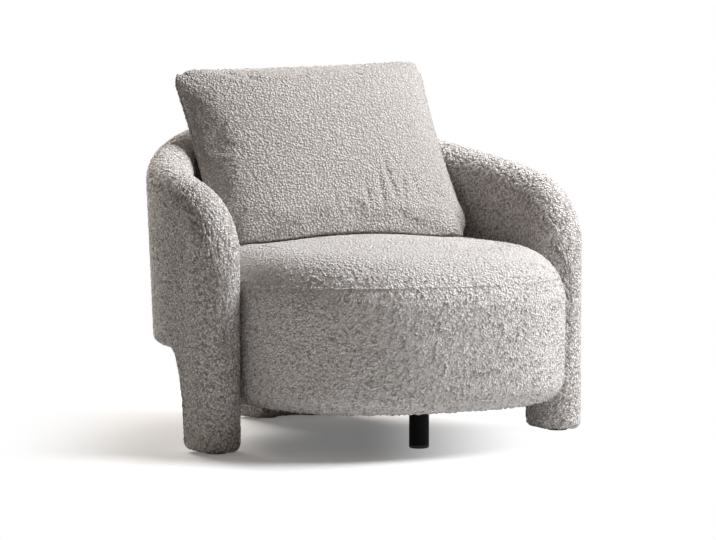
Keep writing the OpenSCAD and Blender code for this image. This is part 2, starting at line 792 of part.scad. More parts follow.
// Back cushion. Its lower edge lies on the seat, and its back rests on the curved wall.
// s runs across and v up it, from -1 to 1, t is 1 in front and -1 behind, c is inside the face
cushion_cells = 16;
edge_power = 2.6;
side_power = 3.8;
crown_power = 0.5;
corner_power = 6;
rest_share = 0.86;
cushion_fit = 8;
cushion_hw = overall_w / 2 - band_t - cushion_gap;
cushion_hh = cushion_h / 2;
cushion_ht = cushion_t / 2;
function puff(s, v) =
    pow(max(0, 1 - pow(abs(s), side_power)) * max(0, 1 - pow(abs(v), edge_power)), crown_power);
function wall_inner_y(x, z) =
    let (a = mid_a - half_t + arm_lean * (z - lean_z), b = mid_b - half_t + back_lean * (z - lean_z))
    curve_y + b * sqrt(max(0, 1 - pow(x / a, 2)));
rest_x = cushion_hw * (1 - cushion_pull_share) * rest_share;
rest_back = cushion_ht * puff(rest_share, 0);
rest_y = cushion_hh * sin(cushion_lean) + rest_back * cos(cushion_lean);
rest_z = seat_h + cushion_hh * cos(cushion_lean) - rest_back * sin(cushion_lean);
cushion_y = wall_inner_y(rest_x, rest_z) - rest_y - cushion_fit;
cushion_z = seat_z(0, cushion_y) + layer_fit;
function cushion_point(s, v, t, c) =
    let (corner = cushion_corner_share * pow(abs(s * v), corner_power), lift = (v + 1) / 2,
         x = s * (cushion_hw - c) * (1 - cushion_pull_share * (1 - v * v) - corner),
         up = cushion_hh + cushion_skew * s * lift
            + v * (cushion_hh - c) * (1 - cushion_pull_share * (1 - s * s) * lift - corner),
         out = t * (cushion_ht - c) * puff(s, v),
         y = cushion_y + up * sin(cushion_lean) - out * cos(cushion_lean),
         z = cushion_z + up * cos(cushion_lean) + out * sin(cushion_lean))
    [x, y, max(z, seat_z(x, y) + layer_fit + c)];

// The cushion's two faces as grids; the slit for the zip is left out of the back one
zip_row = 2;
zip_from = 4;
zip_to = cushion_cells - zip_from;
function grid_share(i) = 2 * i / cushion_cells - 1;
function cushion_face(t, c) = [for (i = [0:cushion_cells], j = [0:cushion_cells])
    cushion_point(grid_share(i), grid_share(j), t, c)];
// A cell whose diagonal runs from the cushion's nearest corner inwards
function puff_cell(w, i, j, base, flip) =
    let (a = base + i * w + j, b = a + 1, c = b + w, d = a + w)
    (2 * i + 1 < w - 1) == (2 * j + 1 < w - 1) ? quad(a, b, c, d, flip) : quad(b, c, d, a, flip);
function in_slit(i, j) = j == zip_row && i >= zip_from && i < zip_to;
module cushion_cover() {
    w = cushion_cells + 1;
    n = w * w;
    pts = concat(cushion_face(1, 0), cushion_face(-1, 0),
        cushion_face(1, cover_t), cushion_face(-1, cover_t));
    back = n;
    lining = 3 * n;
    color(boucle)
        faced(pts, concat(
            [for (i = [0:w - 2], j = [0:w - 2]) puff_cell(w, i, j, 0, false)],
            [for (i = [0:w - 2], j = [0:w - 2]) if (!in_slit(i, j)) puff_cell(w, i, j, back, true)],
            [for (i = [0:w - 2], j = [0:w - 2]) puff_cell(w, i, j, 2 * n, true)],
            [for (i = [0:w - 2], j = [0:w - 2]) if (!in_slit(i, j)) puff_cell(w, i, j, lining, false)],
            [for (i = [zip_from:zip_to - 1], e = [0, 1]) let (j = zip_row + e)
                quad(back + i * w + j, back + (i + 1) * w + j,
                    lining + (i + 1) * w + j, lining + i * w + j, e == 1)],
            [for (i = [zip_from, zip_to])
                quad(back + i * w + zip_row, back + i * w + zip_row + 1,
                    lining + i * w + zip_row + 1, lining + i * w + zip_row, i == zip_from)]));
}

module cushion_filling() {
    w = cushion_cells + 1;
    pts = concat(cushion_face(1, soft_in), cushion_face(-1, soft_in));
    color(foam)
        faced(pts, concat(
            [for (i = [0:w - 2], j = [0:w - 2]) puff_cell(w, i, j, 0, false)],
            [for (i = [0:w - 2], j = [0:w - 2]) puff_cell(w, i, j, w * w, true)]));
}

// Zip in the slit: a tape, its row of teeth and a slider that runs along them
tape_t = 1.2;
tape_in = 1;
tape_edge_share = 0.04;
zip_half = -grid_share(zip_from) * cushion_hw;
zip_low = cushion_point(0, grid_share(zip_row), -1, 0);
zip_high = cushion_point(0, grid_share(zip_row + 1), -1, 0);
zip_mid = (zip_low + zip_high) / 2;
zip_tilt = atan2(zip_high[2] - zip_low[2], zip_high[1] - zip_low[1]);
teeth_w = 6;
teeth_t = 1.4;
teeth_end = 12;
slider_l = 11;
slider_w = 9;
slider_t = 1.2;
slider_fit = 0.25;
pull_l = 24;
pull_w = 5;
pull_t = 1.2;
slider_start = zip_half - teeth_end - slider_l;

// Places children on the zip: +X across the cushion, +Y up its back, +Z out of it
module at_zip() {
    translate(zip_mid)
        rotate([zip_tilt, 0, 0])
            mirror([0, 0, 1])
                children();
}
module zip_tape() {
    steps = zip_to - zip_from;
    edge = tape_edge_share / cushion_cells;
    function tape_ring(s) = [
        cushion_point(s, grid_share(zip_row) + edge, -1, tape_in),
        cushion_point(s, grid_share(zip_row + 1) - edge, -1, tape_in),
        cushion_point(s, grid_share(zip_row + 1) - edge, -1, tape_in + tape_t),
        cushion_point(s, grid_share(zip_row) + edge, -1, tape_in + tape_t)];
    color(cloth_black)
        bar([for (i = [0:steps]) tape_ring((1 - tape_edge_share / steps) * grid_share(zip_from + i))]);
}
module zip_teeth() {
    color(black)
        at_zip()
            translate([-zip_half + teeth_end, -teeth_w / 2, layer_fit - tape_in])
                cube([2 * (zip_half - teeth_end), teeth_w, teeth_t]);
}
module zip_slider() {
    low = layer_fit + teeth_t - tape_in + slider_fit;
    color(steel)
        at_zip()
            translate([slider_start, 0, low]) {
                translate([-slider_l / 2, -slider_w / 2, 0])
                    cube([slider_l, slider_w, slider_t]);
                translate([-slider_l / 2, -pull_w / 2, slider_t])
                    cube([pull_w, pull_w, pull_t]);
                translate([-slider_l / 2, -pull_w / 2, slider_t + pull_t])
                    cube([pull_l, pull_w, pull_t]);
            }
}

band_cover();
band_padding();
underside_strip();
outer_board();
inner_board();
arm_panel_left();
arm_panel_right();
leg_post_left();
leg_post_right();
rear_foot_block();
base_rail();
top_rail();
rib(0);  // rib_1
rib(1);  // rib_2
rib(2);  // rib_3
rib(3);  // rib_4
rib(4);  // rib_5
rib(5);  // rib_6
rib(6);  // rib_7
foot_glides();
glide_screws();
seat_cover();
seat_foam();
seat_side_padding();
seat_side_board();
seat_top_ring();
seat_base_board();
seat_block_left();
seat_block_right();
seat_block_rear_left();
seat_block_rear_right();
seat_block_front_left();
seat_block_front_right();
webbing_across();
webbing_along();
dust_cover();
joining_bolts();
joining_washers();
joining_inserts();
prop_plate();
prop_tube();
prop_glide();
prop_screws();
cushion_cover();
cushion_filling();
zip_tape();
zip_teeth();
zip_slider();
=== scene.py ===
import json
import math

import bmesh
import bpy
import numpy as np
from mathutils import Matrix, Vector


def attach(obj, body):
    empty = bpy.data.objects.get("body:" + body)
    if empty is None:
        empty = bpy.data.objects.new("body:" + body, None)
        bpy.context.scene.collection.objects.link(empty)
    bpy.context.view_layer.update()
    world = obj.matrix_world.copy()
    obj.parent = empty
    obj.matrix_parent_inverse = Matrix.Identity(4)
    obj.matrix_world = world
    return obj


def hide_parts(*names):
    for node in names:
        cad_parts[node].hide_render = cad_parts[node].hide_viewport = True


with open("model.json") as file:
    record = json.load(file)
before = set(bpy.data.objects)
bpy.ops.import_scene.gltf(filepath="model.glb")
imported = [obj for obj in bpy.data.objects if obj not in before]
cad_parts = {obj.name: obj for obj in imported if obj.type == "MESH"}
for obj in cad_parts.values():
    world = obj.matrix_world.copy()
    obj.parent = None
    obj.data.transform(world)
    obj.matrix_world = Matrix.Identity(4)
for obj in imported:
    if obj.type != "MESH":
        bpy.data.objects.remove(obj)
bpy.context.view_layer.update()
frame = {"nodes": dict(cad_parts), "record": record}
nodes = frame["nodes"]
mm = 0.001
tiny = 1e-9
coarse = 1  # wider mesh on the band and seat while trying things out
print("frame loaded:", len(nodes), "nodes")


# Camera where the photograph was taken from: a long lens, low and to the chair's left
camera = {
    "lens": 157.7, "sensor": 36, "distance": 6.4543, "seesTo": 60,
    "elevation": 4.461, "turn": -27.621, "aside": -0.0159, "rise": 0.3383, "originY": -0.0243,
}


def placeCamera():
    up, turn = math.radians(camera["elevation"]), math.radians(camera["turn"])
    back = Vector((math.sin(turn) * math.cos(up), -math.cos(turn) * math.cos(up), math.sin(up)))
    right = Vector((math.cos(turn), math.sin(turn), 0))
    top = back.cross(right)
    eye = back * camera["distance"] + right * camera["aside"] + top * camera["rise"]
    eye.y += camera["originY"]
    data = bpy.data.cameras.new("camera")
    data.lens, data.sensor_width, data.sensor_fit = camera["lens"], camera["sensor"], "HORIZONTAL"
    data.clip_end = camera["seesTo"]
    view = bpy.data.objects.new("camera", data)
    view.matrix_world = Matrix((
        (right.x, top.x, back.x, eye.x),
        (right.y, top.y, back.y, eye.y),
        (right.z, top.z, back.z, eye.z),
        (0, 0, 0, 1)))
    bpy.context.scene.collection.objects.link(view)
    bpy.context.scene.camera = view


placeCamera()
print("camera placed")


# Shader maths: a wire is a socket that can stand in a sum
class Wire:
    def __init__(self, finish, socket):
        self.finish, self.socket = finish, socket

    def maths(self, operation, first, second):
        return self.finish.node("ShaderNodeMath", {"operation": operation}, {0: first, 1: second})

    def __add__(self, other): return self.maths("ADD", self, other)
    def __radd__(self, other): return self.maths("ADD", other, self)
    def __sub__(self, other): return self.maths("SUBTRACT", self, other)
    def __rsub__(self, other): return self.maths("SUBTRACT", other, self)
    def __mul__(self, other): return self.maths("MULTIPLY", self, other)
    def __rmul__(self, other): return self.maths("MULTIPLY", other, self)


# The node tree of a material or of the world
class Finish:
    def __init__(self, owner):
        self.owner = owner
        owner.use_nodes = True
        self.tree = owner.node_tree
        self.tree.nodes.clear()

    def node(self, kind, settings=None, inputs=None, output=0):
        made = self.tree.nodes.new(kind)
        for key, value in (settings or {}).items():
            setattr(made, key, value)
        for key, value in (inputs or {}).items():
            if isinstance(value, Wire):
                self.tree.links.new(value.socket, made.inputs[key])
            else:
                made.inputs[key].default_value = value
        return Wire(self, made.outputs[output]) if len(made.outputs) else made

    def place(self):
        return self.node("ShaderNodeTexCoord", output="Object")

    def noise(self, vector, scale, detail=2, roughness=0.5, output="Fac"):
        return self.node("ShaderNodeTexNoise", None,
            {"Vector": vector, "Scale": scale, "Detail": detail, "Roughness": roughness}, output)

    def mixColour(self, factor, first, second, how="MIX"):
        return self.node("ShaderNodeMix", {"data_type": "RGBA", "blend_type": how},
            {0: factor, 6: first, 7: second}, 2)

    def span(self, value, low, high, toLow=0.0, toHigh=1.0):
        return self.node("ShaderNodeMapRange", {"interpolation_type": "SMOOTHSTEP"},
            {"Value": value, "From Min": low, "From Max": high, "To Min": toLow, "To Max": toHigh})

    def bump(self, height, distance):
        return self.node("ShaderNodeBump", None, {"Height": height, "Distance": distance})

    def surface(self, colour, roughness, normal, **plain):
        inputs = {"Base Color": colour, "Roughness": roughness, "Normal": normal}
        inputs.update({key.replace("_", " "): value for key, value in plain.items()})
        shader = self.node("ShaderNodeBsdfPrincipled", None, inputs)
        self.node("ShaderNodeOutputMaterial", None, {"Surface": shader})
        return self.owner


def rgb(red, green, blue):
    return (red, green, blue, 1.0)


# Boucle: curled loops of pale yarn over a darker ground, which also stands for painted shade in the gaps
# between the loops
boucle = {
    "loop": rgb(0.84, 0.81, 0.80), "groundAndGapShade": rgb(0.300, 0.264, 0.242), "shade": rgb(0.94, 0.93, 0.925),
    "knotScale": 205, "knotEdge": (0.1, 0.75), "curlScale": 380, "loopShare": 0.75,
    "bendScale": 200, "bend": 0.005, "patchScale": 7, "depth": 0.0041,
    "pileShare": 0.3, "middle": 0.52, "yarnFrom": (0.12, 0.80),
    "sheen": 0.12, "sheenRoughness": 0.5, "specular": 0.2, "roughness": 0.95,
}


def boucleFinish():
    b = boucle
    f = Finish(bpy.data.materials.new("boucle"))
    place = f.place()
    pile, gapShadeContrast = (f.node("ShaderNodeAttribute", {"attribute_name": name}, output="Fac")
        for name in ("pile", "gapShadeContrast"))

    # Small knots of yarn, bent out of their cells
    bend = f.noise(place, b["bendScale"], 2, output="Color")
    pull = f.node("ShaderNodeVectorMath", {"operation": "SUBTRACT"}, {0: bend, 1: (0.5, 0.5, 0.5)})
    bent = f.node("ShaderNodeVectorMath", {"operation": "MULTIPLY_ADD"},
        {0: pull, 1: (b["bend"],) * 3, 2: place})
    knot = f.node("ShaderNodeTexVoronoi", {"feature": "F1"},
        {"Vector": bent, "Scale": b["knotScale"], "Randomness": 1.0}, "Distance")
    loop = 1 - f.span(knot, *b["knotEdge"])
    curl = f.noise(bent, b["curlScale"], 1)
    height = loop * b["loopShare"] + curl * (1 - b["loopShare"])

    # Tips are pale and gaps dark, by the knots and by the big loops that the mesh has; the dark gaps are partly
    # painted shade
    lift = height * (1 - b["pileShare"]) + pile * b["pileShare"]
    # How strongly tips and gaps differ is set per piece: painted shade in the gaps, fainter on lit pieces
    lift = (lift - b["middle"]) * gapShadeContrast + b["middle"]
    patch = f.noise(place, b["patchScale"], 3, 0.6)
    yarn = f.mixColour(patch, b["loop"], b["shade"], "MULTIPLY")
    colour = f.mixColour(f.span(lift, *b["yarnFrom"]), b["groundAndGapShade"], yarn)
    return f.surface(colour, b["roughness"], f.bump(height, b["depth"]), Sheen_Weight=b["sheen"],
        Sheen_Roughness=b["sheenRoughness"], Specular_IOR_Level=b["specular"])


boucleMaterial = boucleFinish()
print("boucle mixed")


def clip(value):
    return np.clip(value, 0, 1)


def ease(value):
    value = clip(value)
    return value * value * (3 - 2 * value)


def fade(value, start, width):
    return ease((value - start) / width)


def blend(first, second, share):
    return first + (second - first) * share


def runAlong(path):
    return np.concatenate([[0], np.cumsum(np.linalg.norm(np.diff(path, axis=0), axis=1))])


def resample(path, count):
    run = runAlong(path)
    at = np.linspace(0, run[-1], count)
    return np.stack([np.interp(at, run, path[:, k]) for k in range(path.shape[1])], 1)


# Big loops of the boucle as a height from 0 to 1: short fat worms, one to each cell of space
loops = {
    "cell": 0.0060, "margin": 0.12, "reach": 0.60, "halfLength": 0.40, "least": 0.7,
    "depth": 0.0044, "mean": 0.62, "middle": 0.635, "seed": 7,
}


def scatter(cells, salt):  # a fixed hash, so that every run lays the same loops
    x, y, z = (cells[:, k].astype(np.int64) for k in range(3))
    h = (x * 73856093) ^ (y * 19349663) ^ (z * 83492791) ^ (salt * 2654435761 + loops["seed"] * 97)
    h = (h ^ (h >> 13)) * 1274126177 & 0xFFFFFFFF
    h = (h ^ (h >> 16)) * 2246822519 & 0xFFFFFFFF
    return (h ^ (h >> 15) & 0xFFFFFFFF) % 65536 / 65535.0


def loopHeight(grid):
    points = grid.reshape(-1, 3) / loops["cell"]
    home = np.floor(points).astype(np.int64)
    best = np.zeros(len(points))
    for step in np.ndindex(3, 3, 3):
        cell = home + np.array(step) - 1
        corner = np.stack([scatter(cell, salt) for salt in (1, 2, 3)], 1)
        centre = cell + loops["margin"] + (1 - 2 * loops["margin"]) * corner
        angle = 2 * math.pi * scatter(cell, 4)
        rise = 2 * scatter(cell, 5) - 1
        flat = np.sqrt(1 - rise * rise)
        axis = np.stack([flat * np.cos(angle), flat * np.sin(angle), rise], 1)
        away = points - centre
        along = np.clip((away * axis).sum(1), -loops["halfLength"], loops["halfLength"])
        gap = np.linalg.norm(away - along[:, None] * axis, axis=1) / loops["reach"]
        tall = loops["least"] + (1 - loops["least"]) * scatter(cell, 6)
        best = np.maximum(best, tall * np.sqrt(np.maximum(0, 1 - gap * gap)))
    return best.reshape(grid.shape[:2])


def deepen(pile, gain):
    return loops["middle"] + (pile - loops["middle"]) * gain


# Grids of points and the pieces made from them
def gridNormals(grid, ringed=False):
    if ringed:
        across = np.roll(grid, -1, 1) - np.roll(grid, 1, 1)
    else:
        across = np.gradient(grid, axis=1)
    down = np.gradient(grid, axis=0)
    normal = np.cross(down, across)
    size = np.linalg.norm(normal, axis=-1, keepdims=True)
    return normal / np.maximum(size, tiny * mm)


def gridIndex(rows, columns, start=0, ringed=False):
    index = start + np.arange(rows * columns).reshape(rows, columns)
    return np.concatenate([index, index[:, :1]], 1) if ringed else index


def quadFaces(index, flip=False):
    a, b, c, d = index[:-1, :-1], index[:-1, 1:], index[1:, 1:], index[1:, :-1]
    return np.stack([a, d, c, b] if flip else [a, b, c, d], -1).reshape(-1, 4)


def flatten(*grids):
    return np.concatenate([grid.reshape(-1, 3) for grid in grids])


def weld(piece, distance=0.00005):
    shape = bmesh.new()
    shape.from_mesh(piece.data)
    bmesh.ops.remove_doubles(shape, verts=shape.verts, dist=distance)
    bmesh.ops.dissolve_degenerate(shape, edges=shape.edges, dist=distance)
    shape.to_mesh(piece.data)
    shape.free()


# "pile" is how high the big loops stand; the second attribute is how strongly pale tips and dark gaps differ,
# the gaps partly painted shade, and it is set lower on brightly lit pieces
def buildMesh(name, points, faces, pile=None, gapShadeContrast=1.0):
    mesh = bpy.data.meshes.new(name)
    mesh.from_pydata(points.tolist(), [], faces.tolist())
    if pile is not None:
        for key, values in (("pile", pile), ("gapShadeContrast", np.broadcast_to(gapShadeContrast, pile.shape))):
            made = mesh.attributes.new(key, "FLOAT", "POINT")
            made.data.foreach_set("value", values.astype(np.float32).ravel())
    piece = bpy.data.objects.new(name, mesh)
    bpy.context.scene.collection.objects.link(piece)
    weld(piece)
    mesh.shade_smooth()
    return piece


def dress(piece, body, slot, material, *replaced):
    piece.data.materials.clear()
    piece.data.materials.append(material)
    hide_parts(*replaced)
    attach(piece, body)
    print(piece.name, len(piece.data.polygons), "faces")


# Band: arms, back, two front legs and rear foot in one, in metres.
# Along it u is the distance from the middle of the back, and d from an arm's nose
band = {
    "thick": 0.096, "midA": 0.392, "midB": 0.358, "straight": 0.160, "centreY": -0.0243003,
    "armH": 0.538, "backH": 0.644, "noseH": 0.334, "armCurve": 0.240, "archPower": 2.64, "crestFrom": 0.13,
    "leanBack": 0.18, "leanArm": 0.012, "leanFrom": 0.200, "leanBend": 0.02, "noseFade": 0.8,
    "footGap": 0.0045, "legDepth": 0.095, "footWidth": 0.200, "skirtH": 0.199,
    "riseLength": 0.090, "riseIn": 2.6, "riseOut": 1.6,
    "hem": 0.015, "hemShare": 0.6, "lip": 0.001, "turnIn": 0.016, "turnMore": 0.016, "seam": 0.0005,
    "apartRise": (0.4, 0.26), "apartLeg": 0.026, "moreFrom": (0.2, 0.2), "moreTo": (0.72, 0.4),
    "quad": 0.0033, "around": 0.57, "riseStep": 0.0052, "leastStep": 0.0004, "slopeStep": 0.0005,
    "hemCalm": (0.002, 0.006), "seamWidth": 0.0025, "seamFlat": 0.75, "loopShadeGain": 1.8,
}
band["half"] = band["thick"] / 2
band["quarter"] = math.pi / 2 * math.sqrt((band["midA"] ** 2 + band["midB"] ** 2) / 2)
band["length"] = band["quarter"] + band["straight"]


def bandPoint(u, n, z):  # n is how far outward from the band's middle
    b = band
    turn = math.pi / 2 * clip(np.abs(u) / b["quarter"])
    ahead = np.maximum(np.abs(u) - b["quarter"], 0)
    lean = blend(b["leanArm"], b["leanBack"], np.cos(turn) ** 2) \
        * (1 - b["noseFade"] * ease(ahead / b["straight"]))
    normal = np.stack([np.sin(turn) / b["midA"], np.cos(turn) / b["midB"]], -1)
    normal /= np.linalg.norm(normal, axis=-1, keepdims=True)
    over, bend = z - b["leanFrom"], b["leanBend"]
    out = n + lean * np.where(over > bend, over - bend / 2, np.maximum(over, 0) ** 2 / (2 * bend))
    side = np.where(u < 0, -1.0, 1.0)
    return np.stack([
        side * (b["midA"] * np.sin(turn) + normal[..., 0] * out),
        b["midB"] * np.cos(turn) - ahead + normal[..., 1] * out + b["centreY"], z], -1)


def bandTop(d):
    b = band
    start = b["crestFrom"] * b["length"]
    crest = blend(b["armH"], b["backH"], fade(d, start, b["length"] - start))
    arch = (1 - (1 - clip(d / b["armCurve"])) ** b["archPower"]) ** (1 / b["archPower"])
    return float(blend(b["noseH"], crest, arch))


def bandRise(d):  # 0 at a foot's edge, 1 where its arch has reached the skirt
    b = band
    return min(d - b["legDepth"], b["length"] - d - b["footWidth"] / 2) / b["riseLength"]


def bandBottom(d):
    b = band
    lift = b["hem"] * (1 - math.sqrt(1 - (1 - min(d / b["hem"], 1)) ** 2))
    rise = (1 - (1 - min(max(bandRise(d), 0), 1)) ** b["riseIn"]) ** (1 / b["riseOut"])
    return b["footGap"] + lift + (b["skirtH"] - b["footGap"]) * rise


def hemsApart(d):  # 1 where the cover's two hems leave room for the lining, 0 where they meet
    b = band
    rise = bandRise(d)
    if rise > 0:
        start, width = b["apartRise"]
        return float(clip((rise - start) / width))
    if d > b["legDepth"]:
        return float(clip((b["footWidth"] / 2 - b["length"] + d) / (b["footWidth"] / 4)))
    return float(clip((b["legDepth"] - d) / b["apartLeg"]))


# Half of the band's section at d, from the turned-in hem up to the crest, as n and z
def bandHalfPath(d):
    b = band
    opening = math.acos(1 - min(d, b["half"]) / b["half"])
    h = b["half"] * math.sin(opening)
    bottom, rise = bandBottom(d), bandRise(d)
    before, after = max(d - b["slopeStep"], 0), d + b["slopeStep"]
    slope = (bandTop(after) - bandTop(before)) / (after - before)
    steep = math.sqrt(1 + slope * slope)
    hem = min(b["hem"], b["hemShare"] * h)
    flat = h - hem
    first = min(flat, max(b["seam"], flat * hemsApart(d)))
    more = fade(rise, *b["moreFrom"]) * (1 - fade(rise, *b["moreTo"]))
    turnIn = b["turnIn"] + b["turnMore"] * more  # the hems stay together up to where the lining begins
    bends = np.linspace(0, math.pi / 2, 9)
    arcs = opening * (1 - np.linspace(0, 1, 25))
    return np.concatenate([
        [[max(first - turnIn, b["seam"]), bottom + b["lip"]], [first, bottom]],
        np.stack([flat + hem * np.sin(bends), bottom + b["hem"] * (1 - np.cos(bends))], 1),
        np.stack([b["half"] * np.sin(arcs), bandTop(d) - b["half"] * (1 - np.cos(arcs)) * steep], 1)])


# Places along the band for its sections, closer where an arch is steep
def bandRows():
    b = band
    quad, most = b["quad"] * coarse, b["riseStep"] * coarse
    nose = int(math.pi / 2 * b["half"] / quad)
    places = [b["half"] * (1 - math.cos(math.pi / 2 * i / nose)) for i in range(nose + 1)]
    while places[-1] < b["length"]:
        d = places[-1]
        step = quad
        while step > b["leastStep"] and math.hypot(step, bandBottom(d + step) - bandBottom(d)) > most:
            step *= 0.8
        places.append(d + step)
    places[-1] = b["length"]
    return places


# The cover is two halves, sewn down the middle of the back
def makeBand():
    b = band
    quad = b["quad"] * coarse
    places = bandRows()
    halves = np.stack([resample(bandHalfPath(d), int(b["around"] / quad)) for d in places])
    section = np.concatenate([halves, halves[:, ::-1][:, 1:] * (-1, 1)], 1)
    fromSeam = b["length"] - np.array(places)[:, None]
    seam = np.exp(-(fromSeam / b["seamWidth"]) ** 2)
    column = np.arange(section.shape[1])
    calm = fade(np.minimum(column, column[::-1]) * quad, *b["hemCalm"])
    for side, name in ((-1, "bandCoverLeft"), (1, "bandCoverRight")):
        u = np.broadcast_to(side * fromSeam, section.shape[:2])
        grid = bandPoint(u, section[..., 0], section[..., 1])
        pile = loopHeight(grid) * (1 - b["seamFlat"] * seam)
        push = (pile - loops["mean"]) * loops["depth"] * calm
        grid = grid + gridNormals(grid) * side * push[..., None]
        # The big loops' tops and gaps are deepened in colour here: painted light on the tops and painted shade
        # between them
        pile = np.maximum(deepen(pile, b["loopShadeGain"]), 0)
        piece = buildMesh(name, flatten(grid), quadFaces(gridIndex(*grid.shape[:2]), side < 0), pile)
        dress(piece, "chair", "boucle", boucleMaterial, "band_cover", "band_padding")


makeBand()


# Seat: a drum with a rounded front and a slightly crowned top, cut as a top panel and a side panel
seat = {
    "halfWidth": 0.342, "rear": 0.308, "front": 0.321, "curveY": 0.100, "midY": -0.0565, "power": 2.4,
    "baseH": 0.088, "edgeH": 0.397, "lowR": 0.043, "topR": 0.107, "turnUnder": 0.030,
    "bulge": 0.008, "crown": 0.016, "crownPower": 1.4, "quad": 0.0027,
    "seamAt": 0.335, "seamDepth": 0.0005, "seamWidth": 0.0018, "seamFlat": 0.8, "seamPaintedShade": 0.3,
    "seamShown": 0.55, "seamVaries": 0.3, "seamWaves": (9, 1.3, 4),
    "reliefFade": (0.345, 0.045), "sideRelief": 0.85, "topRelief": 0.45, "calm": 0.008,
    # Side and top carry different painted light: the side paler with deeper painted gap shade, the lit top a
    # little darker with fainter gap shade
    "litTopFade": (0.32, 0.07), "loopShadeGain": 1.6, "topLoopShadeGain": 0.45, "sidePaintedLift": 0.32, "topPaintedLift": -0.05,
    "sideGapShadeContrast": 0.8, "topGapShadeContrast": 0.42,
}
seat["halfLength"] = (seat["rear"] + seat["curveY"] + seat["front"]) / 2


def seatOutline(t, inset, bulge):
    s = seat
    front = t < math.pi
    a = np.where(front, t - math.pi / 2, t - math.pi)
    k = 2 / s["power"]
    wide = s["halfWidth"] - inset
    sine = np.sin(a)
    x = np.where(front, wide * np.sign(sine) * np.abs(sine) ** k, wide * np.cos(a))
    y = band["centreY"] + np.where(front,
        -s["curveY"] - (s["front"] - inset + bulge) * np.maximum(np.cos(a), 0) ** k,
        (s["rear"] - inset) * np.sin(a))
    return np.stack(np.broadcast_arrays(x, y), -1)


# Angles at even distances along the outline, and the outline's length
def seatAngles(count):
    t = np.append(np.linspace(0, 2 * math.pi, 20001)[:-1], 0.0)
    run = runAlong(seatOutline(t, 0, 0))
    t[-1] = 2 * math.pi
    return np.interp(np.linspace(0, run[-1], count + 1)[:-1], run, t), run[-1]


def seatCrown(x, y):
    s = seat
    q = (x / (s["halfWidth"] - s["topR"])) ** 2 \
        + ((y - band["centreY"] - s["midY"]) / (s["halfLength"] - s["topR"])) ** 2
    return s["edgeH"] + s["crown"] * np.maximum(0, 1 - q) ** s["crownPower"]


def seatTop(x, y):  # the seat's height under the cushion
    s = seat
    wide = s["halfWidth"] * np.sqrt(1 - clip((y - band["centreY"]) / s["rear"]) ** 2)
    over = clip((np.abs(x) - wide) / s["topR"] + 1)
    return seatCrown(x, y) - s["topR"] * (1 - np.sqrt(1 - over ** 2))


# The drum's side from below to its crown, as inset and height, with one level right on the seam
def seatLevels():
    s = seat
    low = np.linspace(0, math.pi / 2, 40)
    top = np.linspace(0, math.pi / 2, 80)
    path = np.concatenate([
        [[s["lowR"] + s["turnUnder"], s["baseH"]]],
        np.stack([s["lowR"] * (1 - np.sin(low)), s["baseH"] + s["lowR"] * (1 - np.cos(low))], 1),
        np.stack([s["topR"] * (1 - np.cos(top)), s["edgeH"] - s["topR"] * (1 - np.sin(top))], 1)])
    seam = [[np.interp(s["seamAt"], path[:, 1], path[:, 0]), s["seamAt"]]]
    under = np.concatenate([path[path[:, 1] <= s["seamAt"]], seam])
    over = np.concatenate([seam, path[path[:, 1] > s["seamAt"]]])
    length = runAlong(path)[-1]
    count = int(length / (s["quad"] * coarse))
    lower = int(count * (runAlong(under)[-1] / length))
    return np.concatenate([resample(under, lower), resample(over, count - lower)[1:]])


# The middle of the top: a square grid drawn out to the last ring of the rounding
def seatLid(ring, across):
    s = seat
    steps = np.arange(across + 1)
    inner = np.stack(np.meshgrid(steps, steps, indexing="ij"), -1) - across / 2
    reach = np.abs(inner).max(-1)
    safe = np.maximum(reach, tiny)
    i, j = inner[..., 0], inner[..., 1]
    walk = np.where(j <= -reach + tiny, i / safe + 1,
        np.where(i >= reach - tiny, j / safe + 3,
            np.where(j >= reach - tiny, 5 - i / safe, 7 - j / safe)))
    ringPlace = (walk * across / 2) % len(ring)
    lower = np.floor(ringPlace).astype(int) % len(ring)
    part = (ringPlace - np.floor(ringPlace))[..., None]
    rim = ring[lower] * (1 - part) + ring[(lower + 1) % len(ring)] * part
    centre = np.array([0, band["centreY"] + s["midY"], 0])
    lid = centre + (rim - centre) * (reach / (across / 2))[..., None]
    lid[..., 2] = seatCrown(lid[..., 0], lid[..., 1])
    pile = loopHeight(lid)
    lid[..., 2] += (pile - loops["mean"]) * loops["depth"] * s["topRelief"]
    return lid, deepen(pile, s["topLoopShadeGain"]) + s["topPaintedLift"]


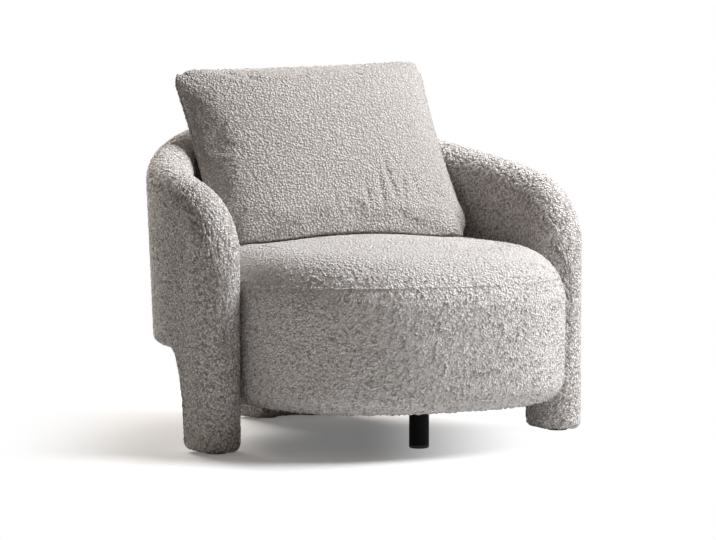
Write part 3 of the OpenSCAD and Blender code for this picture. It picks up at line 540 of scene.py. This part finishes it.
def makeSeat():
    s = seat
    across = int(seatAngles(8)[1] / (s["quad"] * coarse) / 4)
    angles = seatAngles(4 * across)[0]
    levels = seatLevels()
    inset, height = levels[:, 0], levels[:, 1:]
    bulge = s["bulge"] * np.sin(math.pi * clip((levels[:, 1] - s["baseH"]) / (s["edgeH"] - s["baseH"])))
    rings = np.stack([seatOutline(angles, *level) for level in zip(inset, bulge)])
    grid = np.concatenate([rings, np.broadcast_to(height[:, None], rings.shape[:2] + (1,))], -1)
    run = runAlong(levels)[:, None]
    seamRun = np.interp(s["seamAt"], levels[:, 1], run[:, 0])
    cut = int(np.argmin(np.abs(run - seamRun)))

    # The seam shows more in some places than in others
    fast, shift, slow = s["seamWaves"]
    shown = s["seamShown"] + s["seamVaries"] * np.sin(fast * angles + shift) * np.sin(slow * angles)
    groove = np.exp(-((run - seamRun) / s["seamWidth"]) ** 2) * shown
    # Along the seam the colour is darkened: painted shade in the seam's groove
    pile = loopHeight(grid) * (1 - s["seamFlat"] * groove) - s["seamPaintedShade"] * groove
    relief = ease(run / s["calm"]) * blend(s["sideRelief"], s["topRelief"], fade(height, *s["reliefFade"]))
    push = (np.maximum(pile, 0) - loops["mean"]) * loops["depth"] * relief - s["seamDepth"] * groove
    moved = grid + gridNormals(grid, True) * push[..., None]
    # The side is painted paler with deeper painted shade between the loops, the lit top with fainter painted
    # gap shade; they blend by height
    upper = fade(height, *s["litTopFade"])
    pile = deepen(pile, blend(s["loopShadeGain"], s["topLoopShadeGain"], upper)) + blend(s["sidePaintedLift"], s["topPaintedLift"], upper)
    gapShadeContrast = np.broadcast_to(blend(s["sideGapShadeContrast"], s["topGapShadeContrast"], upper), pile.shape)

    lower = moved[:cut + 1]
    side = buildMesh("seatSidePanel", flatten(lower), quadFaces(gridIndex(*lower.shape[:2], ringed=True)),
        pile[:cut + 1], gapShadeContrast[:cut + 1])
    rows = moved[cut:]
    lid, lidPile = seatLid(grid[-1], across)
    faces = np.concatenate([
        quadFaces(gridIndex(*rows.shape[:2], ringed=True)),
        quadFaces(gridIndex(*lid.shape[:2], start=rows.shape[0] * rows.shape[1]), True)])
    top = buildMesh("seatTopPanel", flatten(rows, lid), faces,
        np.concatenate([pile[cut:].ravel(), lidPile.ravel()]),
        np.concatenate([gapShadeContrast[cut:].ravel(), np.full(lidPile.size, s["topGapShadeContrast"])]))
    for piece in (side, top):
        dress(piece, "chair", "boucle", boucleMaterial, "seat_cover", "seat_foam", "seat_side_padding")


makeSeat()


# Back cushion: two panels sewn at a knife edge, blown up as cloth and laid on the seat.
# s and v run from -1 to 1 across it and up it
cushion = {
    "width": 0.592, "height": 0.406, "thick": 0.170, "lean": 31.5, "y": 0.07686, "z": 0.40730,
    "pull": 0.035, "corner": 0.01, "cornerPower": 6, "skew": 0.010, "sidePower": 3.8, "edgePower": 2.6,
    "softSide": 2.4, "softPower": 0.6, "roundLeft": 0.042, "roundRight": 0.028, "roundLow": 0.060,
    "seamAhead": 0.045, "seamAheadEnds": 0.8, "seamDown": 0.036, "underFrom": 0.77,
    "quad": 0.0064, "quickCoarse": 1.6, "clear": 0.0072, "fit": 0.0015,
    "flange": 0.003, "flangeRough": 0.0016, "pinch": 0.0036, "pinchAt": 0.0085, "pinchWidth": 0.0042,
    "pinchSide": 0.3, "pinchLow": (0.5, 0.25), "ear": ((0.82, 0.12), (0.80, 0.12)), "earCalm": 0.6,
    "relief": 0.55, "calm": 0.008, "loopShadeGain": 0.5, "paintedShadeDrop": 0.78, "seamPaintedShade": 0.3, "gapShadeContrast": 0.52,
    "slitLow": -0.75, "slitHigh": -0.625, "slitHalf": 0.5, "slitCalm": (0.001, 0.007),
    "lip": 0.0016, "lipShare": 0.4, "lipDepth": 0.0035, "lipPile": 0.3, "lipEnds": 4,
    "creaseRim": 0.45, "creaseSpread": 2.2, "creaseTaper": 1.6, "creaseFade": 0.02,
}
creases = [  # where each soft crease crosses the front: share across, share up, turn, length, width, depth
    (0.24, -0.70, 84, 0.065, 0.0068, 0.0060), (0.33, -0.58, 96, 0.085, 0.0072, 0.0056),
    (0.42, -0.72, 78, 0.060, 0.0062, 0.0056), (0.12, -0.78, 92, 0.050, 0.0062, 0.0044),
    (0.53, -0.64, 104, 0.055, 0.0066, 0.0040), (-0.62, 0.78, 150, 0.060, 0.0075, 0.0048),
    (-0.50, 0.68, 158, 0.055, 0.0075, 0.0042), (-0.14, -0.82, 88, 0.045, 0.0062, 0.0036),
]
cloth = {  # the panels start flatter and a little too big, and swell
    "flat": 0.72, "slack": 1.018, "pressure": 4.5, "stretch": 25, "bending": 0.8, "quality": 6,
    "frames": 20, "cap": 0.026, "smooth": 24, "wrinkle": 0.6, "broad": 0.1,
    "rimFade": 0.022, "earFade": ((0.62, 0.2), (0.55, 0.25)), "slitFade": 0.07,
}


# A panel's points: across, up and out of the cushion; t is 1 in front and -1 behind
def cushionLocal(s, v, t, flat=1.0, slack=1.0):
    c = cushion
    halfW, halfH = c["width"] / 2 * slack, c["height"] / 2 * slack
    corner = c["corner"] * np.abs(s * v) ** c["cornerPower"]
    lift = (v + 1) / 2
    x = s * halfW * (1 - c["pull"] * (1 - v * v) - corner)
    up = v * halfH * (1 - c["pull"] * (1 - s * s) * lift - corner) + c["skew"] * s * lift

    # Rounded corners, the upper two tighter than the lower
    r = np.where(v > 0, np.where(s < 0, c["roundLeft"], c["roundRight"]), c["roundLow"])
    a, b = np.maximum(np.abs(x) - halfW + r, 0), np.maximum(np.abs(up) - halfH + r, 0)
    kept = np.where(a * b > 0, np.maximum(a, b) / np.maximum(np.hypot(a, b), tiny), 1)
    x = np.sign(x) * (np.abs(x) - a * (1 - kept))
    up = np.sign(up) * (np.abs(up) - b * (1 - kept))

    # The seam below lies ahead of the middle and down on the seat, the back stays near the zip
    low = clip((1 - v) / 2) ** 3
    if t > 0:
        puff = (1 - np.abs(s) ** c["softSide"]) ** c["softPower"] * np.sqrt(1 - np.abs(v) ** c["edgePower"])
    else:
        puff = np.sqrt(np.maximum(0, 1 - np.abs(s) ** c["sidePower"])
            * np.maximum(0, 1 - np.abs(v) ** c["edgePower"]))
        low = blend(fade(-v, c["underFrom"], 1 - c["underFrom"]), low, np.abs(s) ** 6)
    ahead = c["seamAhead"] * (1 - c["seamAheadEnds"] * s ** 4) * low * (1 - puff ** 2)
    out = t * flat * c["thick"] / 2 * puff + ahead
    return np.stack(np.broadcast_arrays(x, up - c["seamDown"] * low, out), -1)


# Out to the chair's frame, and nowhere lower than the seat
def layCushion(local, clear):
    c = cushion
    lean = math.radians(c["lean"])
    x, up, out = local[..., 0], local[..., 1] + c["height"] / 2, local[..., 2]
    y = c["y"] + up * math.sin(lean) - out * math.cos(lean)
    z = c["z"] + up * math.cos(lean) + out * math.sin(lean)
    return np.stack([x, y, np.maximum(z, seatTop(x, y) + clear)], -1)


# Shares from -1 to 1 that lie evenly round the bulge, an odd number of them
def evenShares(power, length, quad):
    s = np.sin(np.linspace(-math.pi / 2, math.pi / 2, 4001))
    bulge = cushion["thick"] / 2 * np.sqrt(np.maximum(0, 1 - np.abs(s) ** power))
    run = runAlong(np.stack([s * (length / 2), bulge], 1))
    return np.interp(np.linspace(0, run[-1], int(run[-1] / quad) // 2 * 2 + 1), run, s)


def ringsIn(shape):  # how many steps each point is from the grid's edge
    i, j = (np.minimum(np.arange(n), np.arange(n)[::-1]) for n in shape)
    return np.minimum(i[:, None], j[None, :])


def fromSlit(s, v):
    c = cushion
    gapX = np.maximum(np.abs(s) - c["slitHalf"], 0) * c["width"] / 2
    gapUp = np.maximum(np.maximum(c["slitLow"] - v, v - c["slitHigh"]), 0) * c["height"] / 2
    return np.hypot(gapX, gapUp)


def inEar(s, v, places):
    return fade(np.abs(s), *places[0]) * fade(np.abs(v), *places[1])


def soften(grid, times):
    for _ in range(times):
        for axis in (0, 1):
            g = np.moveaxis(grid, axis, 0)
            padded = np.concatenate([g[:1], g, g[-1:]])
            grid = np.moveaxis((padded[:-2] + 2 * g + padded[2:]) / 4, 0, axis)
    return grid


# Halves the steps of a grid, on smooth curves through its points
def refine(grid):
    for axis in (0, 1):
        g = np.moveaxis(grid, axis, 0)
        padded = np.concatenate([2 * g[:1] - g[1:2], g, 2 * g[-1:] - g[-2:-1]])
        middle = (9 * (padded[1:-2] + padded[2:-1]) - padded[:-3] - padded[3:]) / 16
        fine = np.empty((2 * len(g) - 1,) + g.shape[1:])
        fine[::2], fine[1::2] = g, middle
        grid = np.moveaxis(fine, 0, axis)
    return grid


# The cloth simulation: both panels, sewn along the rim, under pressure and without weight
def blowUp(front, back):
    index = gridIndex(*front.shape[:2])
    behind = index + index.size
    rim = ringsIn(index.shape) == 0
    behind[rim] = index[rim]
    points = flatten(front, back)
    faces = np.concatenate([quadFaces(index, True), quadFaces(behind, True)[:, ::-1]])
    mesh = bpy.data.meshes.new("blownCushion")
    mesh.from_pydata(points.tolist(), [], faces.tolist())
    body = bpy.data.objects.new("blownCushion", mesh)
    bpy.context.scene.collection.objects.link(body)
    swell = body.modifiers.new("cloth", "CLOTH")
    swell.settings.effector_weights.gravity = 0
    swell.settings.use_pressure = True
    swell.settings.uniform_pressure_force = cloth["pressure"]
    swell.settings.tension_stiffness = swell.settings.compression_stiffness = cloth["stretch"]
    swell.settings.bending_stiffness = cloth["bending"]
    swell.settings.quality = cloth["quality"]
    swell.point_cache.frame_end = cloth["frames"]
    for step in range(1, cloth["frames"] + 1):
        bpy.context.scene.frame_set(step)
    shape = body.evaluated_get(bpy.context.evaluated_depsgraph_get()).to_mesh()
    moved = np.empty(len(shape.vertices) * 3)
    shape.vertices.foreach_get("co", moved)
    bpy.data.objects.remove(body)
    bpy.context.scene.frame_set(1)
    moved = moved.reshape(-1, 3) - points
    size = np.linalg.norm(moved, axis=1, keepdims=True)
    moved *= np.minimum(1, cloth["cap"] / np.maximum(size, tiny))
    print("cushion blown up, most moved", round(float(size.max()) / mm, 1), "mm")
    return moved[index], moved[behind]


# Of what the cloth did, its wrinkles are kept, away from the rim, the ears and the slit
def addWrinkles(sides, s, v, quad):
    start = [cushionLocal(s, v, t, cloth["flat"], cloth["slack"]) for t in (1, -1)]
    rings = ringsIn(s.shape)
    away = ease(rings * quad / cloth["rimFade"]) * (1 - inEar(s, v, cloth["earFade"]))
    for k, moved in enumerate(blowUp(*start)):
        broad = soften(moved, cloth["smooth"])
        deepest = np.abs((moved - broad)[4:-4, 4:-4, 2]).max()
        print("wrinkles", round(float(deepest) / mm, 2), "mm deep")
        change = (moved - broad) * cloth["wrinkle"] + (broad - broad.mean((0, 1))) * cloth["broad"]
        share = away * ease(fromSlit(s, v) / cloth["slitFade"]) if k else away
        sides[k] = sides[k] + change * share[..., None]
    sides[1][rings == 0] = sides[0][rings == 0]


def creaseDepth(local):
    c = cushion
    depth = np.zeros(local.shape[:2])
    for across, up, turn, length, width, deep in creases:
        away = local[..., :2] - np.array([across * c["width"], up * c["height"]]) / 2
        cos, sin = math.cos(math.radians(turn)), math.sin(math.radians(turn))
        along = away[..., 0] * cos + away[..., 1] * sin
        off = (away[..., 1] * cos - away[..., 0] * sin) / width
        wave = np.exp(-off ** 2) - c["creaseRim"] * np.exp(-(off / c["creaseSpread"]) ** 2)
        depth += deep * wave * np.exp(-(along / length * c["creaseTaper"]) ** 2)
    return depth


# The knife edge: the rim drawn out to a narrow flange
def flangeRim(points, pile, s, v, rim, ear):
    c = cushion
    outward = np.stack([np.sign(s) * (np.abs(s) > 0.999), np.sign(v) * (np.abs(v) > 0.999)], -1)[rim]
    outward = outward / np.maximum(np.linalg.norm(outward, axis=1, keepdims=True), tiny)
    lean = math.radians(c["lean"])
    reach = (c["flange"] + (pile[rim] - 0.5) * c["flangeRough"]) * (1 - ear[rim])
    push = np.stack([outward[:, 0], outward[:, 1] * math.sin(lean), outward[:, 1] * math.cos(lean)], 1)
    edge = points[rim] + push * reach[:, None]
    edge[:, 2] = np.maximum(edge[:, 2], seatTop(edge[:, 0], edge[:, 1]) + c["clear"])
    return edge


# The slit's edges are turned in: once round it, and two rings of points behind
def foldSlit(back, normal, inSlit):
    c = cushion
    i, j = np.nonzero(inSlit)
    west, east, south, north = i.min(), i.max() + 1, j.min(), j.max() + 1
    x, up = np.arange(west, east), np.arange(south, north)
    walkI = np.concatenate([x, np.full(len(up), east), x[::-1] + 1, np.full(len(up), west)])
    walkJ = np.concatenate([np.full(len(x), south), up, np.full(len(x), north), up[::-1] + 1])
    edge = back[walkI, walkJ]
    ends = c["lipEnds"]
    towards = back[np.clip(walkI, west + ends, east - ends), (south + north) // 2] - edge
    towards *= c["lip"] / np.linalg.norm(towards, axis=1, keepdims=True)
    inward = -normal[walkI, walkJ]
    folds = [edge + towards + inward * c["lip"], edge + towards * c["lipShare"] + inward * c["lipDepth"]]
    return walkI, walkJ, folds


def makeCushion():
    c = cushion
    quad = c["quad"] * 1
    s, v = np.meshgrid(evenShares(c["sidePower"], c["width"], quad),
        evenShares(c["edgePower"], c["height"], quad), indexing="ij")
    sides = [cushionLocal(s, v, t) for t in (1, -1)]
    addWrinkles(sides, s, v, quad)
    s, v = refine(s[..., None])[..., 0], refine(v[..., None])[..., 0]
    fromSeam = ringsIn(s.shape) * (quad / 2)
    ear = inEar(s, v, c["ear"])
    pinch = np.exp(-((fromSeam - c["pinchAt"]) / c["pinchWidth"]) ** 2) * (1 - ear) \
        * blend(c["pinchSide"], 1, fade(-v, *c["pinchLow"]))
    points, piles = [], []
    for k, side in enumerate(sides):
        local = refine(side)
        calm = ease(fromSeam / c["calm"]) * (1 - c["earCalm"] * ear)
        if k:
            calm = calm * fade(fromSlit(s, v), *c["slitCalm"])
        else:
            local[..., 2] -= creaseDepth(local) * ease(fromSeam / c["creaseFade"])
        laid = layCushion(local, c["fit"] if k else c["clear"])
        normal = gridNormals(laid) * (1 if k else -1)
        pile = loopHeight(laid)
        push = (pile - loops["mean"]) * loops["depth"] * c["relief"] * calm - c["pinch"] * pinch
        points.append(laid + normal * push[..., None])
        # The cushion's colour is darkened all over as painted shade, and more along the pinched seam, painted
        # shade in its crease
        piles.append(deepen(pile, c["loopShadeGain"]) - c["paintedShadeDrop"] - c["seamPaintedShade"] * pinch)
    rim = fromSeam == 0
    points[0][rim] = points[1][rim] = flangeRim(points[0], piles[0], s, v, rim, ear)

    index = gridIndex(*s.shape)
    midS, midV = (s[:-1, :-1] + s[1:, 1:]) / 2, (v[:-1, :-1] + v[1:, 1:]) / 2
    inSlit = (np.abs(midS) < c["slitHalf"]) & (midV > c["slitLow"]) & (midV < c["slitHigh"])
    cells = quadFaces(index, True)
    faces = [cells, cells[~inSlit.ravel()][:, ::-1] + index.size]
    walkI, walkJ, folds = foldSlit(points[1], normal, inSlit)
    count = len(walkI)
    rings = [index[walkI, walkJ] + index.size]
    rings += [2 * index.size + count * n + np.arange(count) for n in (0, 1)]
    for first, second in zip(rings, rings[1:]):
        faces.append(np.stack([first, second, np.roll(second, -1), np.roll(first, -1)], 1))
    pile = np.concatenate([panel.ravel() for panel in piles] + [np.full(2 * count, c["lipPile"])])
    piece = buildMesh("backCushion", flatten(*points, *folds), np.concatenate(faces), pile, c["gapShadeContrast"])
    dress(piece, "cushion", "boucle", boucleMaterial, "cushion_cover", "cushion_filling")


makeCushion()


# Everything else keeps its shape from the frame and gets its own finish
mottle = {"broadScale": 0.12, "broadShare": 0.6, "roughSpread": 0.08}


# Two colours that mix, the roughness, how fine the grain is and how deep
def plainFinish(name, first, second, roughness, scale, depth, **plain):
    m = mottle
    f = Finish(bpy.data.materials.new(name))
    place = f.place()
    broad = f.noise(place, scale * m["broadScale"], 3, 0.6)
    fine = f.noise(place, scale, 3, 0.65)
    colour = f.mixColour(broad * m["broadShare"] + fine * (1 - m["broadShare"]), first, second)
    rough = f.span(fine, 0, 1, roughness - m["roughSpread"], roughness + m["roughSpread"])
    return f.surface(colour, rough, f.bump(fine, depth), **plain)


finishes = {
    "foam": plainFinish("foam", rgb(0.80, 0.74, 0.58), rgb(0.88, 0.82, 0.66), 0.9, 700, 0.0008),
    "filling": plainFinish("filling", rgb(0.85, 0.84, 0.82), rgb(0.93, 0.92, 0.9), 0.9, 400, 0.0008),
    "black_lining": plainFinish("blackLining",
        rgb(0.012, 0.012, 0.013), rgb(0.03, 0.03, 0.032), 0.85, 900, 0.0004),
    "webbing": plainFinish("webbing", rgb(0.02, 0.02, 0.022), rgb(0.05, 0.05, 0.052), 0.8, 800, 0.0005),
    "hardboard": plainFinish("hardboard", rgb(0.20, 0.11, 0.055), rgb(0.30, 0.18, 0.10), 0.6, 500, 0.0002),
    "zip_tape": plainFinish("zipTape", rgb(0.20, 0.18, 0.17), rgb(0.28, 0.26, 0.25), 0.85, 1200, 0.0003),
    "zip_teeth": plainFinish("zipTeeth", rgb(0.10, 0.095, 0.09), rgb(0.14, 0.13, 0.12), 0.45, 800, 0.0001),
    "zip_metal": plainFinish("zipMetal",
        rgb(0.50, 0.50, 0.50), rgb(0.62, 0.62, 0.61), 0.35, 600, 0.0001, Metallic=1.0),
    "zinc_steel": plainFinish("zincSteel",
        rgb(0.55, 0.55, 0.54), rgb(0.68, 0.68, 0.66), 0.4, 300, 0.0001, Metallic=1.0),
    "black_steel": plainFinish("blackSteel",
        rgb(0.004, 0.004, 0.004), rgb(0.007, 0.007, 0.007), 0.6, 1400, 0.0002, Specular_IOR_Level=0.12),
    "black_plastic": plainFinish("blackPlastic",
        rgb(0.012, 0.012, 0.012), rgb(0.02, 0.02, 0.02), 0.45, 900, 0.0001),
    "felt": plainFinish("felt", rgb(0.24, 0.22, 0.20), rgb(0.36, 0.33, 0.31), 0.95, 1500, 0.0006),
    "plywood": plainFinish("plywood", rgb(0.52, 0.36, 0.20), rgb(0.66, 0.49, 0.30), 0.6, 120, 0.0003),
}


# Zip: single teeth on the strip's place and a shaped slider with its pull, in millimetres.
# Shapes are half outlines: along the zip, and up from its middle
zipper = {
    "pitch": 1.3, "stagger": 0.9, "toothAlong": 1.05, "toothUp": 4.1, "toothOut": 0.7, "toothChamfer": 0.3,
    "toothTop": 0.6, "toothShoulder": 0.8, "lift": 0.95, "plate": 1.2, "chamfer": 0.3,
    "body": ((-5.5, 1.9), (-5.1, 3.0), (-3.6, 3.5), (0.5, 3.9), (3.6, 4.5), (5.0, 4.2), (5.5, 3.0), (5.5, 1.0)),
    "bridge": ((-5.3, 0.8), (-5.0, 1.6), (-4.2, 2.0), (-1.6, 2.0), (-0.8, 1.6), (-0.5, 0.8)),
    "pull": ((-5.5, 0.8), (-5.2, 1.7), (-4.2, 2.1), (-1.0, 1.5), (4.0, 1.2), (9.0, 1.6), (14.0, 2.5),
        (17.2, 2.4), (18.2, 1.8), (18.5, 0.8)),
}


def nodePoints(name):
    piece = nodes[name]
    return np.array([piece.matrix_world @ corner.co for corner in piece.data.vertices]) / mm


# The strip's middle, its axes along, up and out, and its length
def zipFrame():
    corners = nodePoints("zip_teeth")
    centre = (corners.max(0) + corners.min(0)) / 2
    end = np.unique(corners[corners[:, 0] > centre[0]].round(4), axis=0)
    edges = [b - a for a in end for b in end if np.abs(b - a).max() > 0.01]
    out = min((edge for edge in edges if edge[1] > 0), key=np.linalg.norm)
    out = out / np.linalg.norm(out)
    up = np.array([0, -out[2], out[1]])
    return centre, np.stack([(1, 0, 0), up if up[2] > 0 else -up, out]), np.ptp(corners[:, 0])


# A plate of a mirrored half outline, with chamfered edges
def plate(shape, low, high, chamfer):
    half = np.array(shape)
    outline = np.concatenate([half, half[::-1] * (1, -1)])
    away = outline - outline.mean(0)
    inner = outline - away / np.linalg.norm(away, axis=1, keepdims=True) * chamfer
    levels = ((inner, low), (outline, low + chamfer), (outline, high - chamfer), (inner, high))
    points = np.concatenate([np.column_stack([ring, np.full(len(ring), level)]) for ring, level in levels])
    n = len(outline)
    ring = np.arange(n)
    turned = np.roll(ring, -1)
    faces = [np.stack([ring, turned, turned + n, ring + n], 1) + n * k for k in range(3)]
    across = np.arange(n // 2 - 1)
    cap = np.stack([across, n - 1 - across, n - 2 - across, across + 1], 1)
    return points, np.concatenate(faces + [cap, cap[:, ::-1] + 3 * n])


def makeZip():
    z = zipper
    centre, axes, length = zipFrame()

    def build(name, parts):
        offsets = np.cumsum([0] + [len(points) for points, _ in parts])
        points = np.concatenate([points for points, _ in parts])
        faces = np.concatenate([faces + offset for (_, faces), offset in zip(parts, offsets)])
        piece = buildMesh(name, (points @ axes + centre) * mm, faces)
        piece.data.shade_flat()
        return piece

    count = int((length - z["toothAlong"]) / z["pitch"])
    a, u, out = z["toothAlong"] / 2, z["toothUp"] / 2, z["toothOut"]
    top, shoulder = a * z["toothTop"], u * z["toothShoulder"]
    points, faces = plate(((-a, shoulder), (-top, u), (top, u), (a, shoulder)), -out, out, z["toothChamfer"])
    shifts = [((n + 0.5 - count / 2) * z["pitch"], z["stagger"] * (1 if n % 2 else -1), 0)
        for n in range(count)]
    teeth = build("zipTeeth", [(points + shift, faces) for shift in shifts])
    dress(teeth, "cushion", "zip_teeth", finishes["zip_teeth"], "zip_teeth")

    shift = (nodePoints("zip_slider")[:, 0].min() - z["body"][0][0], 0, 0)
    parts = []
    for n, name in enumerate(("body", "bridge", "pull")):
        low = z["lift"] + n * z["plate"]
        points, faces = plate(z[name], low, low + z["plate"], z["chamfer"])
        parts.append((points + shift, faces))
    dress(build("zipSlider", parts), "zip_slider", "zip_metal", finishes["zip_metal"], "zip_slider")


makeZip()


def dressNodes():
    slots = {part["node"]: part["material_slot"] for part in frame["record"]["subparts"]}
    for name, piece in nodes.items():
        if not piece.hide_render and slots[name] in finishes:
            piece.data.materials.clear()
            piece.data.materials.append(finishes[slots[name]])


dressNodes()
print("nodes finished")


# Studio: a white sweep, a large soft key from the camera's right, a weak lamp from above and a
# stronger one behind the chair. The floor's own shading fades to white with distance and to both sides
studio = {
    "floorSize": 30, "floorColour": rgb(0.72, 0.72, 0.72), "white": rgb(1, 1, 1), "glow": 0.16,
    "fade": (0.55, 1.05), "shadowAt": -0.19, "shadowFade": (0.19, 0.56),
    "world": 0.13, "ambience": rgb(1, 0.82, 0.66), "aim": (0, 0, 0.35), "away": 3.6,
}
lamps = {
    "key": {"around": 0, "up": 46, "size": 2.0, "power": 236, "tint": (0.955, 0.98, 1)},
    "top": {"around": 60, "up": 74, "size": 1.6, "power": 30, "tint": (1, 1, 1)},
    "rear": {"around": 120, "up": 24, "size": 1.6, "power": 156, "tint": (1, 0.955, 0.905)},
}


def addLamp(name, lamp):
    turn, up = math.radians(camera["turn"] + lamp["around"]), math.radians(lamp["up"])
    aim = Vector(studio["aim"])
    data = bpy.data.lights.new(name, "AREA")
    data.shape, data.size, data.energy, data.color = "DISK", lamp["size"], lamp["power"], lamp["tint"]
    item = bpy.data.objects.new(name, data)
    item.location = aim + studio["away"] * Vector((
        math.cos(turn) * math.cos(up), math.sin(turn) * math.cos(up), math.sin(up)))
    item.rotation_euler = (aim - item.location).to_track_quat("-Z", "Y").to_euler()
    bpy.context.scene.collection.objects.link(item)


def seenRays(f):  # 1 for what the camera, a mirror or glass sees, 0 for what lights the chair
    kinds = ("Camera", "Glossy", "Transmission")
    return sum(f.node("ShaderNodeLightPath", output=f"Is {kind} Ray") for kind in kinds)


def makeFloor():
    f = Finish(bpy.data.materials.new("floor"))
    place = f.node("ShaderNodeNewGeometry", output="Position")
    length = f.node("ShaderNodeVectorMath", {"operation": "LENGTH"}, {0: place}, "Value")
    turn = math.radians(camera["turn"])
    across = f.node("ShaderNodeVectorMath", {"operation": "DOT_PRODUCT"},
        {0: place, 1: (math.cos(turn), math.sin(turn), 0)}, "Value")
    aside = f.node("ShaderNodeMath", {"operation": "ABSOLUTE"}, {0: across - studio["shadowAt"]})
    far = 1 - (1 - f.span(length, *studio["fade"])) * (1 - f.span(aside, *studio["shadowFade"]))
    ray = f.node("ShaderNodeLightPath", output="Is Camera Ray")
    paper = f.node("ShaderNodeBsdfDiffuse", None, {"Color": studio["floorColour"]})
    glow = f.node("ShaderNodeEmission", None, {"Color": studio["white"], "Strength": ray * studio["glow"]})
    lit = f.node("ShaderNodeAddShader", None, {0: paper, 1: glow})
    white = f.node("ShaderNodeEmission", None, {"Color": studio["white"], "Strength": 1.0})
    mixed = f.node("ShaderNodeMixShader", None, {0: far * seenRays(f), 1: lit, 2: white})
    f.node("ShaderNodeOutputMaterial", None, {"Surface": mixed})
    half = studio["floorSize"] / 2
    corners = np.array([[-half, -half, 0], [half, -half, 0], [half, half, 0], [-half, half, 0]])
    floor = buildMesh("floor", corners, np.array([[0, 1, 2, 3]]))
    floor.data.materials.append(f.owner)


def makeSky():
    world = bpy.data.worlds.new("studio")
    bpy.context.scene.world = world
    f = Finish(world)
    seen = seenRays(f)
    colour = f.mixColour(seen, studio["ambience"], studio["white"])
    strength = seen * (1 - studio["world"]) + studio["world"]
    back = f.node("ShaderNodeBackground", None, {"Color": colour, "Strength": strength})
    f.node("ShaderNodeOutputWorld", None, {"Surface": back})


makeFloor()
for name, lamp in lamps.items():
    addLamp(name, lamp)
makeSky()
bpy.context.scene.view_settings.view_transform = "Standard"
print("studio lit")
